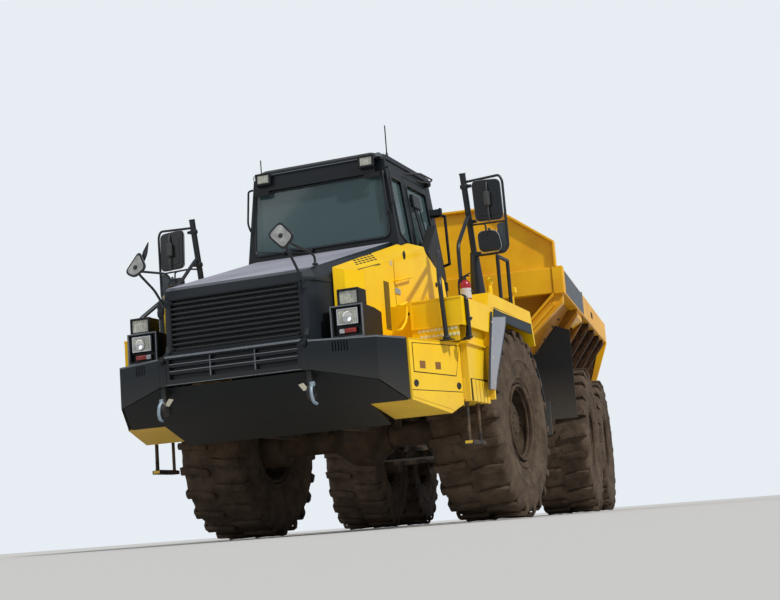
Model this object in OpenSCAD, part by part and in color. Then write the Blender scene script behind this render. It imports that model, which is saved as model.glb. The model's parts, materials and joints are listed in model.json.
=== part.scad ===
// Articulated dump truck: a cab and engine section and a six-wheel tipping rear section,
// joined by a steering hitch that also lets the rear roll about its own length.
// Millimetres. The truck is laid out from a point on the ground under the front axle,
// front towards -Y and its left side towards +X, and then moved so that the origin
// lies on the ground under the middle of its outline.

/* [Stance] */
// Front wheel centre to middle wheel centre
wheelbase = 4350; // [4300:10:4500]
// Middle wheel centre to rear wheel centre
bogie_pitch = 1970; // [1950:10:2100]
// Left tyre centre to right tyre centre
track = 2690; // [2660:10:2720]
// Front wheel centre back to the steering hitch
hitch_y = 1600; // [1580:10:1700]
// Height of the hitch above the ground
hitch_z = 1100; // [1080:10:1130]
// Turn of the rear section about the hitch as the truck stands
steer_rest = 8; // [-15:1:15]

/* [Wheels] */
// Tyre diameter over the lugs
tyre_od = 1870; // [1850:5:1880]
// Tyre width at its widest
tyre_w = 745; // [700:5:760]
// Diameter where the tyre meets its rim
rim_d = 740; // [700:5:780]
// Lugs on each half of a tread
lug_count = 15; // [12:1:18]
// Height of a lug over the carcass
lug_h = 42; // [25:1:50]
// Diameter of the wheel spindle
spindle_d = 220; // [200:5:240]
// Gap all round between a shaft and its bore
running_gap = 0.05; // [0.02:0.01:0.09]
// Gap left between pieces that are seated but can part
seat_gap = 0.3; // [0.2:0.05:0.5]

/* [Nose] */
// Front axle to the front face of the bumper
bumper_reach = 2830; // [2780:10:2880]
// Height of the bumper's top
bumper_top = 1595; // [1580:5:1610]
// Half width of the bumper's outer corners
bumper_half = 1380; // [1350:10:1410]
// Half width of the opening between the bumper wings
wing_inner = 712; // [700:2:720]
// Half width of the bend in each bumper wing
wing_bend = 1245; // [1200:5:1290]
// Front axle to the bumper's outer corners
corner_reach = 2290; // [2260:5:2320]
// Height of the sloping guard's rear edge
belly_z = 905; // [880:5:930]
// Front axle to the guard's rear edge
belly_reach = 1830; // [1780:10:1880]
// Thickness of the guard and bumper plates
guard_t = 20; // [12:1:26]
// Front axle to the front of the hood's lip
nose_reach = 2740; // [2700:5:2770]
// Half width of the radiator grille
grille_half = 641; // [620:1:660]
// Height of the grille's bottom
grille_low = 1640; // [1630:1:1650]
// Height of the grille's top
grille_high = 2126; // [2100:1:2140]
// Number of slats across the grille
slat_count = 10; // [8:1:12]
// Number of bars in the lower grille
bar_count = 3; // [2:1:4]
// Bore of the front towing eyes
tow_bore = 60; // [50:1:70]
// Front axle to the towing eyes
tow_eye_reach = 2770; // [2750:5:2790]
// Height of the towing eyes
tow_eye_z = 1160; // [1140:5:1180]

/* [Hood] */
// Height of the hood's top at its nose
hood_nose_z = 2237; // [2220:1:2250]
// Height of the hood's top at the windscreen
hood_rear_z = 2754; // [2730:1:2765]
// Half width of the hood's flat top at its nose
hood_half_front = 700; // [690:1:705]
// Half width of the hood's flat top at the windscreen
hood_half_rear = 736; // [725:1:745]
// Half width of the hood at the foot of its slanted edge
shoulder_half = 800; // [790:1:806]
// Thickness of the hood and side sheets
sheet_t = 25; // [15:1:30]
// Half width over the side panels
side_half = 1000; // [990:1:1010]
// Front axle to the seam between side panel and cab base
seam_reach = 1450; // [1400:5:1500]
// Front axle to the hood's hinge
hood_hinge_reach = 2790; // [2785:1:2795]
// Height of the hood's hinge
hood_hinge_z = 1600; // [1598:1:1603]

/* [Cab] */
// Front axle to the windscreen's foot
cab_reach = 795; // [785:1:800]
// Front axle back to the cab's rear wall
cab_back = 500; // [480:5:520]
// Height of the underside of the cab floor
cab_floor = 2130; // [2120:1:2140]
// Half width of the cab at its sill
cab_half_low = 840; // [830:1:850]
// Half width of the cab at its eaves
cab_half_top = 722; // [710:1:735]
// Height of the sill, where the cab's sides begin to lean in
cab_sill = 2600; // [2580:5:2620]
// Height of the eaves
cab_eaves = 3610; // [3590:5:3625]
// Thickness of the roof
roof_t = 85; // [70:1:95]
// Thickness of the cab's walls and door
cab_wall = 50; // [40:1:60]
// Thickness of the window glass
glass_t = 8; // [6:1:10]
// Gap round the door
door_gap = 8; // [6:1:12]

/* [Fenders] */
// Height of the fender's top
fender_z = 2110; // [2090:5:2120]
// Thickness of the fender's sheet
fender_t = 40; // [30:1:50]
// Half width over the fenders
fender_half = 1725; // [1715:1:1735]
// Height of the step deck ahead of the fender
deck_z = 1975; // [1950:5:2000]
// Half width over the side boxes
box_half = 1600; // [1580:5:1620]
// Height of the mirror posts' tops
post_top = 3340; // [3300:10:3400]
// Distance of a mirror post from the middle
post_x = 1500; // [1480:5:1520]
// Half width over the rear-view mirrors
mirror_half = 1915; // [1890:5:1940]

/* [Tipping body] */
// Half width over the top rails
body_half = 1725; // [1700:5:1750]
// Middle wheel centre forward to the front of the body
body_ahead = 2110; // [2070:10:2150]
// Middle wheel centre back to the rear edge of the body
body_behind = 3300; // [3250:10:3350]
// Height of the rails' top at the front
rail_top = 2800; // [2760:10:2830]
// Height of the rails' top at the rear
rail_top_rear = 2660; // [2620:10:2700]
// Depth of the top rails
rail_h = 290; // [270:5:310]
// Width of the top rails
rail_w = 110; // [90:5:130]
// Height of the body floor's underside
floor_z = 1965; // [1950:5:1990]
// Half width of the floor
floor_half = 1180; // [1150:5:1200]
// Height of the tail's lower edge
tail_z = 1820; // [1780:10:1850]
// Half width of the tail's lower edge
tail_half = 1430; // [1380:10:1460]
// Thickness of the body's plates
plate_t = 30; // [20:1:40]
// Height of the headboard's top
head_top = 3540; // [3480:10:3600]
// Half width of the headboard's level top
head_half = 1020; // [960:10:1100]
// Height of the headboard's outer corners
head_corner = 3080; // [3040:10:3120]
// Middle wheel centre back to the tipping hinge
hinge_behind = 2500; // [2450:10:2550]
// Height of the tipping hinge
dump_hinge_z = 1450; // [1430:5:1470]
// Diameter of the tipping hinge pin
dump_pin_d = 110; // [90:5:120]

/* [Rear chassis] */
// Half width over the rear frame's rails
rear_rail_half = 470; // [450:5:490]
// Width of a rail
rail_t = 110; // [90:5:130]
// Height of the rails' top
frame_top = 1600; // [1580:5:1620]
// Height of the rails' underside
frame_low = 1220; // [1200:5:1240]
// Diameter of the hitch's vertical pin
hitch_pin_d = 120; // [100:5:140]
// Diameter of the tube that the rear frame rolls on
roll_tube_d = 360; // [340:5:380]
// Bore of the rear towing pin's socket
rear_tow_bore = 50; // [40:1:60]

/* [Cylinders] */
// Outer diameter of a steering cylinder's barrel
steer_barrel_d = 130; // [110:2:150]
// Diameter of a steering cylinder's rod
steer_rod_d = 70; // [56:2:80]
// Base pin to the open end of a steering cylinder's barrel
steer_barrel_len = 930; // [900:10:960]
// Rod pin to the inner end of a steering cylinder's rod
steer_rod_len = 930; // [900:10:960]
// Hitch forward to a steering cylinder's base pin
steer_base_y = 1050; // [1000:10:1080]
// Distance of the base pin from the middle
steer_base_x = 560; // [540:5:580]
// Hitch back to a steering cylinder's rod pin
steer_eye_y = 400; // [380:5:420]
// Distance of the rod pin from the middle
steer_eye_x = 430; // [420:5:450]
// Outer diameter of a hoist cylinder's barrel
hoist_barrel_d = 190; // [170:5:200]
// Diameter of a hoist cylinder's rod
hoist_rod_d = 110; // [90:5:120]
// Base pin to the open end of a hoist cylinder's barrel
hoist_barrel_len = 1950; // [1900:10:2000]
// Rod pin to the inner end of a hoist cylinder's rod
hoist_rod_len = 2120; // [2080:10:2160]
// Distance of the hoist cylinders from the middle
hoist_x = 730; // [715:1:745]
// Middle wheel centre forward to the hoist cylinder's base pin
hoist_base_ahead = 850; // [800:10:900]
// Height of the hoist cylinder's base pin
hoist_base_z = 860; // [840:5:880]
// Middle wheel centre back to the hoist cylinder's rod pin
hoist_eye_behind = 1250; // [1200:10:1300]
// Height of the hoist cylinder's rod pin
hoist_eye_z = 1800; // [1790:5:1810]

/* [Hidden] */
tyre_r = tyre_od / 2;
half_track = track / 2;
mid_axle_y = wheelbase;
rear_axle_y = wheelbase + bogie_pitch;
// Places along the rear section, drawn straight, from the front axle
body_front = wheelbase - body_ahead;
body_rear = wheelbase + body_behind;
dump_hinge_y = wheelbase + hinge_behind;
hoist_base_y = wheelbase - hoist_base_ahead;
hoist_eye_y = wheelbase + hoist_eye_behind;
smooth = 32;

// Where a point of the straight rear section lies once it is turned about the hitch
function turned(p) = [
    p[0] * cos(steer_rest) - (p[1] - hitch_y) * sin(steer_rest),
    hitch_y + p[0] * sin(steer_rest) + (p[1] - hitch_y) * cos(steer_rest)
];
hood_mirror_reach = 3150;
hood_pin_d = 30;
origin_x = (mirror_half + turned([-body_half, body_rear])[0]) / 2;
origin_y = (turned([body_half, body_rear])[1] - hood_mirror_reach) / 2;

yellow = [0.96, 0.69, 0.03];
black = [0.13, 0.15, 0.17];
steel = [0.35, 0.36, 0.37];
dark = [0.20, 0.21, 0.22];

// Placing and shaping helpers

module truck() {
    translate([-origin_x, -origin_y, 0]) children();
}

// The rear section, drawn straight, turned about the hitch
module rear() {
    truck()
        translate([0, hitch_y, 0])
            rotate([0, 0, steer_rest])
                translate([0, -hitch_y, 0])
                    children();
}

module both_sides() {
    children();
    mirror([1, 0, 0]) children();
}

// A (y, z) outline drawn out along X
module across(x0, x1, outline) {
    translate([x0, 0, 0])
        rotate([90, 0, 90])
            linear_extrude(x1 - x0) polygon(outline);
}

// An (x, z) outline drawn out along Y
module along(y0, y1, outline) {
    translate([0, y1, 0])
        rotate([90, 0, 0])
            linear_extrude(y1 - y0) polygon(outline);
}

// An (x, y) outline drawn out along Z
module upward(z0, z1, outline) {
    translate([0, 0, z0]) linear_extrude(z1 - z0) polygon(outline);
}

// A box between two corners
module block(low, high) {
    translate(low) cube(high - low);
}

// A round bar from one point to another
module bar(p, q, d) {
    v = q - p;
    flat = norm([v[0], v[1]]);
    translate(p)
        rotate([0, atan2(flat, v[2]), atan2(v[1], v[0])])
            cylinder(h = norm(v), d = d, $fn = smooth);
}

// A bent round bar through a list of points, with round corners
module bent_bar(points, d) {
    for (i = [0 : len(points) - 2]) bar(points[i], points[i + 1], d);
    for (i = [1 : 1 : len(points) - 2])
        translate(points[i]) sphere(d = d * 1.03, $fn = smooth);
}

// A cylinder along X
module rod_x(x0, x1, y, z, d) {
    translate([x0, y, z]) rotate([0, 90, 0]) cylinder(h = x1 - x0, d = d, $fn = 48);
}

// A cylinder along Y
module rod_y(x, y0, y1, z, d) {
    translate([x, y1, z]) rotate([90, 0, 0]) cylinder(h = y1 - y0, d = d, $fn = 48);
}

// A cylinder along Z
module rod_z(x, y, z0, z1, d) {
    translate([x, y, z0]) cylinder(h = z1 - z0, d = d, $fn = 48);
}

// Area vector and middle of a ring of points, which tell which way round it runs
function ring_sum(v) = [for (i = [0 : len(v) - 1]) 1] * v;
function ring_area(r) = ring_sum([for (i = [0 : len(r) - 1]) cross(r[i], r[(i + 1) % len(r)])]);
function ring_middle(r) = ring_sum(r) / len(r);
function reversed(r) = [for (i = [len(r) - 1 : -1 : 0]) r[i]];

// Faces between rings of n points: the sides of m bands, closed round where loop is true
function bands(n, m, loop) = [
    for (k = [0 : m - (loop ? 1 : 2)]) for (i = [0 : n - 1])
        each [
            [k * n + i, ((k + 1) % m) * n + i, ((k + 1) % m) * n + (i + 1) % n],
            [k * n + i, ((k + 1) % m) * n + (i + 1) % n, k * n + (i + 1) % n]
        ]
];

// A solid through rings of points that all have the same count
module loft(rings) {
    n = len(rings[0]);
    m = len(rings);
    forward = ring_area(rings[0]) * (ring_middle(rings[m - 1]) - ring_middle(rings[0])) > 0;
    polyhedron(
        points = [for (ring = rings) each (forward ? ring : reversed(ring))],
        faces = concat(
            [[for (i = [0 : n - 1]) i]],
            [[for (i = [n - 1 : -1 : 0]) (m - 1) * n + i]],
            bands(n, m, false)
        )
    );
}

// An upright plate in the x-z plane with round corners, its middle at the origin
module rounded_plate(w, h, t, r) {
    block([-w / 2 + r, -t / 2, -h / 2], [w / 2 - r, t / 2, h / 2]);
    block([-w / 2, -t / 2, -h / 2 + r], [w / 2, t / 2, h / 2 - r]);
    for (x = [-1, 1], z = [-1, 1])
        rod_y(x * (w / 2 - r), -t / 2, t / 2, z * (h / 2 - r), 2 * r);
}

// Wheels, drawn about their own centre with the outer side towards +X

carcass_r = tyre_r - lug_h;
lug_pitch = 360 / lug_count;
// Angles at which a lug begins and ends and the next gap begins and ends
lug_angles = [-0.19, 0.19, 0.33, 0.67] * lug_pitch;
// Wheel centres stand a little lower than the lugs' corners, flat on a lug
wheel_z = tyre_r * cos(lug_angles[1]);

// Beads clear the rim where the band between them comes closest to it: its two edges are
// half a lug apart
bead_r = (rim_d / 2 + seat_gap) / cos(lug_pitch / 4);

// Section of the tyre from bead to bead
// columns: distance from the middle, radius in a gap, radius on a lug, slant of the lugs
tyre_half = [
    [tyre_w / 2 - 65, bead_r, bead_r, 0],
    [tyre_w / 2, carcass_r - 215, carcass_r - 215, 0.14],
    [tyre_w / 2 - 32, carcass_r - 30, tyre_r - 8, 0.14],
    [8, carcass_r, tyre_r, 0]
];

// One ring of a tyre: side is 1 on the outer half and -1 on the inner half
function tyre_ring(s, side) = [
    for (i = [0 : lug_count - 1]) for (k = [0 : 3])
        let (
            turn = lug_angles[k] + (i + (side + 1) / 4 + side * s[3]) * lug_pitch + 180,
            r = k < 2 ? s[2] : s[1]
        )
        [side * s[0], r * sin(turn), r * cos(turn)]
];

module tyre() {
    rings = concat(
        [for (s = tyre_half) tyre_ring(s, -1)],
        [for (k = [3 : -1 : 0]) tyre_ring(tyre_half[k], 1)]
    );
    color(dark)
        polyhedron(
            points = [for (ring = rings) each ring],
            faces = bands(4 * lug_count, len(rings), true)
        );
}

rim_half = 290;
hub_r = 232;

module rim() {
    bore_r = spindle_d / 2 + running_gap;
    color(steel)
        rotate([0, 90, 0])
            rotate_extrude($fn = 72)
                polygon([
                    [bore_r, -150], [hub_r, -150], [hub_r, -20], [rim_d / 2 - 22, 40],
                    [rim_d / 2 - 22, -rim_half], [rim_d / 2, -rim_half],
                    [rim_d / 2, rim_half + 20], [rim_d / 2 - 14, rim_half + 20],
                    [rim_d / 2 - 22, 120], [hub_r + 30, 70], [hub_r, 90],
                    [hub_r - 10, 215], [hub_r - 70, 250], [0, 250],
                    [0, 180], [bore_r, 180]
                ]);
}

// Axle with its differential, brakes and spindles, centred at the wheels' height
module axle(pan_d) {
    inner = half_track - tyre_w / 2;
    rod_x(-half_track - 170, half_track + 170, 0, 0, spindle_d);
    rod_x(-inner - 130, inner + 130, 0, 0, 250);
    both_sides() rod_x(inner - 60, half_track - 160, 0, 0, 430);
    rotate([0, 90, 0])
        rotate_extrude($fn = 48)
            polygon([[0, -300], [150, -300], [pan_d / 2, -120], [pan_d / 2, 120], [150, 300], [0, 300]]);
}

// Front section

rail_x = 460;
rail_w_front = 100;
front_rail_top = 1330;
axle_notch_z = 1110;
hitch_ear_t = 70;
hub_half_h = 290;
hitch_r = 175;
eye_t = 90;
ear_t = 30;
ear_gap = 3;

module front_frame() {
    color(dark) truck() {
        difference() {
            union() {
                both_sides() {
                    across(rail_x - rail_w_front, rail_x, [
                        [-2300, 1160], [-1750, 930], [-800, 930], [-420, axle_notch_z],
                        [420, axle_notch_z], [960, hitch_z - hub_half_h - hitch_ear_t - 5],
                        [1150, hitch_z - hub_half_h - hitch_ear_t - 5],
                        [1150, hitch_z + hub_half_h + hitch_ear_t + 5],
                        [960, hitch_z + hub_half_h + hitch_ear_t + 5], [700, front_rail_top],
                        [-2300, front_rail_top]
                    ]);
                    // Cab mounts
                    for (y = [-cab_reach + 130, cab_back - 130]) {
                        block([rail_x - 60, y - 60, front_rail_top - 10], [660, y + 60, front_rail_top + 110]);
                        block([560, y - 50, front_rail_top], [660, y + 50, cab_floor - seat_gap]);
                    }
                    // Outriggers under the side boxes and the deck
                    block([rail_x - 10, -2000, 1180], [side_half + 10 - seat_gap, -1910, 1290]);
                    block([rail_x - 10, -1280, 1180], [side_half + 60 - seat_gap, -1190, 1290]);
                }
                // Cross members
                for (member = [[-2290, 150], [-1950, 250], [-950, 250], [-400, 200], [400, 200]])
                    block([-rail_x + 20, member[0], front_rail_top - member[1]],
                        [rail_x - 20, member[0] + 90, front_rail_top - seat_gap]);
                // Hitch nose: an ear above and one below the yoke's hub
                for (side = [-1, 1]) {
                    z0 = hitch_z + side * (hub_half_h + 5 + hitch_ear_t / 2) - hitch_ear_t / 2;
                    upward(z0, z0 + hitch_ear_t, [
                        [-rail_x + 5, 1000], [rail_x - 5, 1000], [rail_x - 5, 1150],
                        [hitch_r, hitch_y], [-hitch_r, hitch_y], [-rail_x + 5, 1150]
                    ]);
                    rod_z(0, hitch_y, z0, z0 + hitch_ear_t, 2 * hitch_r);
                }
            }
            // Windows in the rails that the steering cylinders swing through
            both_sides() block([rail_x - rail_w_front - 10, 660, hitch_z - 95], [rail_x + 10, 1160, hitch_z + 95]);
        }
        rod_z(0, hitch_y, hitch_z - hub_half_h - hitch_ear_t - 25,
            hitch_z + hub_half_h + hitch_ear_t + 25, hitch_pin_d);
    }
}

// Ears beside the rails that carry the steering cylinders' base pins
module steer_brackets() {
    y = hitch_y - steer_base_y;
    color(dark) truck()
        both_sides() {
            for (side = [-1, 1]) {
                z0 = hitch_z + side * (eye_t / 2 + ear_gap + ear_t / 2) - ear_t / 2;
                upward(z0, z0 + ear_t, [
                    [rail_x + seat_gap, y - 130], [steer_base_x + 40, y - 75], [steer_base_x + 75, y],
                    [steer_base_x + 40, y + 75], [rail_x + seat_gap, y + 130]
                ]);
            }
            rod_z(steer_base_x, y, hitch_z - eye_t / 2 - ear_gap - ear_t - 15,
                hitch_z + eye_t / 2 + ear_gap + ear_t + 15, 70);
        }
}

module engine() {
    color(steel) truck()
        block([-330, -2000, front_rail_top], [330, -900, 2060]);
}

module front_axle() {
    color(dark) truck() {
        translate([0, 0, wheel_z]) axle(560);
        // Suspension links and struts up to the frame rails
        both_sides() {
            block([rail_x - 90, -110, wheel_z + 60], [rail_x - 10, 110, axle_notch_z - seat_gap]);
            bar([rail_x + 90, 0, wheel_z + 60], [rail_x + 90, 0, front_rail_top - 40], 130);
            block([rail_x + seat_gap, -80, front_rail_top - 130], [rail_x + 160, 80, front_rail_top - 30]);
        }
    }
}

bumper_foot = 1350;
corner_foot = 1062;
wing_depth = 20;
tow_eye_x = 695;
tow_eye_t = 40;
side_box_front = -corner_reach + wing_depth + seat_gap;

module belly_guard() {
    rear_half = 1000;
    corner_z = corner_foot + 8;
    module wedge() {
        hull() {
            for (side = [-1, 1]) {
                translate([side * (wing_inner - 4), -bumper_reach + 24, bumper_foot]) cube(6, center = true);
                translate([side * (wing_bend - 19), -2591, 1228]) cube(6, center = true);
                translate([side * (bumper_half - 25), -corner_reach + 10, corner_z]) cube(6, center = true);
                translate([side * (bumper_half - 25), -corner_reach + 200, corner_z + 10]) cube(6, center = true);
                translate([side * rear_half, -belly_reach, belly_z]) cube(6, center = true);
            }
            translate([0, -2200, 1600]) cube([2 * wing_inner, 600, 6], center = true);
        }
    }
    color(black) truck()
        difference() {
            intersection() {
                wedge();
                block([-bumper_half, -bumper_reach, belly_z - 10], [bumper_half, -belly_reach, 1340]);
            }
            translate([0, 0, guard_t]) wedge();
            // Slots for the towing eyes, and corners left free for the side boxes
            for (side = [-1, 1])
                block([side * tow_eye_x - tow_eye_t / 2 - seat_gap, -tow_eye_reach - 32, belly_z],
                    [side * tow_eye_x + tow_eye_t / 2 + seat_gap, -tow_eye_reach + 62, bumper_foot]);
            both_sides()
                block([side_half + 10 - seat_gap, side_box_front - seat_gap, belly_z - 20],
                    [bumper_half + 10, -belly_reach + 20, bumper_foot]);
        }
}

// Outline of one bumper wing seen from above, inset by t
function wing_plan(t) = [
    [wing_inner + t, -bumper_reach + t],
    [wing_bend - t * 0.2, -2610 + t],
    [bumper_half - t, -corner_reach + t * 0.4],
    [bumper_half - t, -corner_reach + wing_depth],
    [wing_inner + t, -corner_reach + wing_depth]
];

module bumper() {
    wing_low = [[wing_inner, bumper_foot], [wing_bend, 1228], [bumper_half, corner_foot]];
    color(black) truck() {
        both_sides()
            difference() {
                intersection() {
                    upward(1000, bumper_top, wing_plan(0));
                    along(-bumper_reach - 1, -2000, [
                        wing_low[0], wing_low[1], wing_low[2],
                        [bumper_half, bumper_top], [wing_inner, bumper_top]
                    ]);
                }
                upward(990, bumper_top - guard_t, wing_plan(guard_t));
                // Upright vent slots in the front face
                for (i = [0 : 5])
                    block([900 + 22 * i, -2830, bumper_top - 110], [909 + 22 * i, -2600, bumper_top - 25]);
            }
        // Beam behind the lower grille
        block([-wing_inner - 30, -2650, 1390], [wing_inner + 30, -2560, 1560]);
        // Pins that the hood's arms turn on, with a block in front of each
        both_sides() {
            rod_x(wing_inner - 68, wing_inner + 10, -hood_hinge_reach, hood_hinge_z, hood_pin_d);
            block([grille_half + 3, -bumper_reach + 2, bumper_foot], [wing_inner + 5, -bumper_reach + 40, 1555]);
            block([grille_half + 3, -bumper_reach + 2, bumper_foot], [wing_inner + 5, -2600, bumper_foot + 30]);
            block([grille_half + 3, -2680, bumper_foot], [wing_inner + 5, -2600, 1540]);
        }
        both_sides() {
            block([wing_inner - 60, -2610, 1290], [wing_inner - 20, -2300 - seat_gap, 1400]);
            // Towing eye under the beam
            difference() {
                union() {
                    block([tow_eye_x - tow_eye_t / 2, -tow_eye_reach - 30, tow_eye_z],
                        [tow_eye_x + tow_eye_t / 2, -tow_eye_reach + 60, bumper_foot + 20]);
                    rod_x(tow_eye_x - tow_eye_t / 2, tow_eye_x + tow_eye_t / 2, -tow_eye_reach, tow_eye_z, 2 * tow_bore);
                }
                rod_x(tow_eye_x - tow_eye_t, tow_eye_x + tow_eye_t, -tow_eye_reach, tow_eye_z, tow_bore);
            }
        }
    }
}

module lower_grille() {
    low = 1385;
    high = 1625;
    y0 = -bumper_reach + 6;
    half = grille_half + 3 - seat_gap;
    pitch = (high - low - 60) / bar_count;
    color(black) truck() {
        block([-half, y0 + 40, low], [half, y0 + 60, high]);
        block([-half, y0, high - 45], [half, y0 + 60, high]);
        block([-half, y0, low - 30], [half, y0 + 60, low + 20]);
        both_sides() block([half - 30, y0, low], [half, y0 + 60, high]);
        both_sides() block([half / 3 - 10, y0 + 10, low], [half / 3 + 10, y0 + 55, high]);
        for (i = [1 : bar_count - 1])
            block([-half, y0 + 6, low + 20 + pitch * i - 14], [half, y0 + 50, low + 20 + pitch * i + 14]);
    }
}

// Hood: a dark top with slanted edges, closed at the front by the grille

cowl_gap = 6;

// One ring of the hood's lid at a station: distance ahead of the axle, half width and
// height of the flat top, half width and height of the slanted edge's foot
function hood_ring(reach, half, top, foot_half, foot) = [
    [-foot_half, -reach, foot - sheet_t], [-foot_half, -reach, foot], [-half, -reach, top],
    [half, -reach, top], [foot_half, -reach, foot], [foot_half, -reach, foot - sheet_t]
];

module hood_top() {
    lip_foot = grille_high + seat_gap + sheet_t;
    color(black) truck() {
        loft([
            hood_ring(nose_reach, grille_half + 20, 2195, grille_half + 30, lip_foot),
            hood_ring(nose_reach - 90, hood_half_front, hood_nose_z, 741, lip_foot + 1),
            hood_ring(2400, 706, hood_nose_z + 70, shoulder_half, 2150),
            hood_ring(1380, 724, 2592, shoulder_half, 2556),
            hood_ring(cab_reach + cowl_gap, hood_half_rear, hood_rear_z, hood_half_rear + 4, hood_rear_z - 12)
        ]);
        // Corner columns beside the grille, down to the bumper
        both_sides()
            upward(bumper_top + 6, lip_foot - 11, [
                [grille_half + seat_gap, -nose_reach + 6], [grille_half + 49, -nose_reach + 30],
                [738, -2600], [shoulder_half - 3, -2402], [shoulder_half - 30, -2402],
                [grille_half + 40, -2640], [grille_half + seat_gap, -2660]
            ]);
        // Arms that turn on the pins at the bumper
        both_sides()
            difference() {
                across(grille_half + 9, grille_half + 49, [
                    [-hood_hinge_reach - 14, hood_hinge_z - 22], [-hood_hinge_reach + 14, hood_hinge_z - 22],
                    [-2690, bumper_top + 40], [-2690, bumper_top + 120], [-nose_reach + 20, bumper_top + 120],
                    [-nose_reach + 2, bumper_top + 60], [-hood_hinge_reach - 14, hood_hinge_z + 18]
                ]);
                rod_x(grille_half, wing_inner, -hood_hinge_reach, hood_hinge_z, hood_pin_d + 2 * running_gap);
            }
    }
}

module grille() {
    depth = 50;
    y0 = -nose_reach + 4;
    pitch = (grille_high - grille_low - 40) / slat_count;
    color(black) truck() {
        block([-grille_half, y0 + depth - 12, grille_low], [grille_half, y0 + depth, grille_high]);
        both_sides() block([grille_half - 22, y0, grille_low], [grille_half, y0 + depth, grille_high]);
        block([-grille_half, y0, grille_low], [grille_half, y0 + depth, grille_low + 20]);
        block([-grille_half, y0, grille_high - 20], [grille_half, y0 + depth, grille_high]);
        // Slats tilted so that their front edges hang down
        for (i = [0 : slat_count - 1])
            across(-grille_half + 5, grille_half - 5, [
                [y0 + 4, grille_low + 26 + pitch * i], [y0 + 12, grille_low + 22 + pitch * i],
                [y0 + depth - 5, grille_low + 44 + pitch * i], [y0 + depth - 5, grille_low + 54 + pitch * i],
                [y0 + 4, grille_low + 36 + pitch * i]
            ]);
    }
}

// Mirrors ahead of the hood on two arms each: x of the head on the left and on the right
module hood_mirrors() {
    color(black) truck()
        for (head = [[590, -hood_mirror_reach + 30, 2410], [-735, -hood_mirror_reach + 30, 2390]]) {
            side = sign(head[0]);
            low = [side * (grille_half + 45), -nose_reach + 5, 2080];
            high = [side * (hood_half_front - 20), -2520, 2290];
            bar(low, head, 22);
            bar(high, head, 22);
            block(low - [20, 8, 25], low + [20, 11 - seat_gap, 25]);
            block(high - [18, 15, 12], high + [18, 15, 8]);
            translate(head) rounded_plate(170, 200, 44, 30);
        }
}

// Yellow side panels beside the hood, and the base below the cab

// Height of the slanted top of the side panels over a point
function shoulder_at(x, y) = 3304 - 0.436 * x + 0.2863 * y;

module panel_form(inset, y0, y1) {
    out = side_half - inset;
    // columns: half width and distance back of the front axle
    plan = [
        [shoulder_half + 8 + inset * 0.3, y0 < -2000 ? -2420 + inset : y0],
        [y0 < -2000 ? 900 - inset * 0.6 : out, y0 < -2000 ? -2380 + inset : y0],
        [out, y0 < -2000 ? -2180 + inset : y0 + 0.01],
        [out, y1], [shoulder_half + 8 + inset * 0.3, y1]
    ];
    intersection() {
        upward(bumper_top + 10 - (inset > 0 ? 1 : 0), 2800, plan);
        loft([
            [[600, y0 - 900, 1500], [1100, y0 - 900, 1500], [1100, y1 + 10, 1500], [600, y1 + 10, 1500]],
            [
                [600, y0 - 900, shoulder_at(600, y0 - 900) - inset],
                [1100, y0 - 900, shoulder_at(1100, y0 - 900) - inset],
                [1100, y1 + 10, shoulder_at(1100, y1 + 10) - inset],
                [600, y1 + 10, shoulder_at(600, y1 + 10) - inset]
            ]
        ]);
    }
}

module side_panels() {
    color(yellow) truck()
        both_sides()
            difference() {
                panel_form(0, -2420, -seam_reach);
                panel_form(sheet_t, -2420, -seam_reach + 1);
                // Upright vent strip
                for (i = [0 : 13])
                    block([side_half - 60, -1730, 1772 + 32 * i], [side_half + 5, -1612, 1788 + 32 * i]);
            }
}

module cab_base() {
    color(yellow) truck()
        both_sides()
            difference() {
                intersection() {
                    panel_form(0, -seam_reach + 4, 20);
                    across(600, 1100, [
                        [-seam_reach, 1500], [-1010, 1500], [-1010, 1985], [20, 1985], [20, 2150], [-50, 2435],
                        [-540, 2650], [-760, 2900], [-seam_reach, 2900]
                    ]);
                }
                intersection() {
                    panel_form(sheet_t, -seam_reach - 4, 21);
                    block([0, -3000, 1590], [side_half - sheet_t, 100, 2900]);
                }
                // Room for the cab's lower corner and its floor
                block([0, -cab_reach - 10, cab_floor - 60], [cab_half_low + 12, 100, 3000]);
            }
}

module headlamps() {
    color(black) truck()
        both_sides() {
            difference() {
                across(845, 1140, [
                    [-2620, bumper_top + seat_gap], [-2610, 1880], [-2350, 1872], [-2190, 1850],
                    [-2190, bumper_top + seat_gap]
                ]);
                block([868, -2640, 1630], [1118, -2580, 1862]);
                // The housing fits round the side panel's front corner
                translate([0, 0, -50]) panel_cut();
            }
            // Lamp bodies: lower lamp, marker strip and upper lamp
            block([903, -2608, 1712], [1096, -2575, 1852]);
            block([912, -2604, 1638], [1072, -2575, 1687]);
            block([918, -2600, 1865], [1110, -2440, 2018]);
        }
}

module panel_cut() {
    gap = 3;
    upward(1500, 3200, [
        [600, -2420 - gap], [shoulder_half + 8, -2420 - gap], [900 + gap, -2380 - gap],
        [side_half + gap, -2180], [side_half + gap, 0], [600, 0]
    ]);
}

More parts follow.
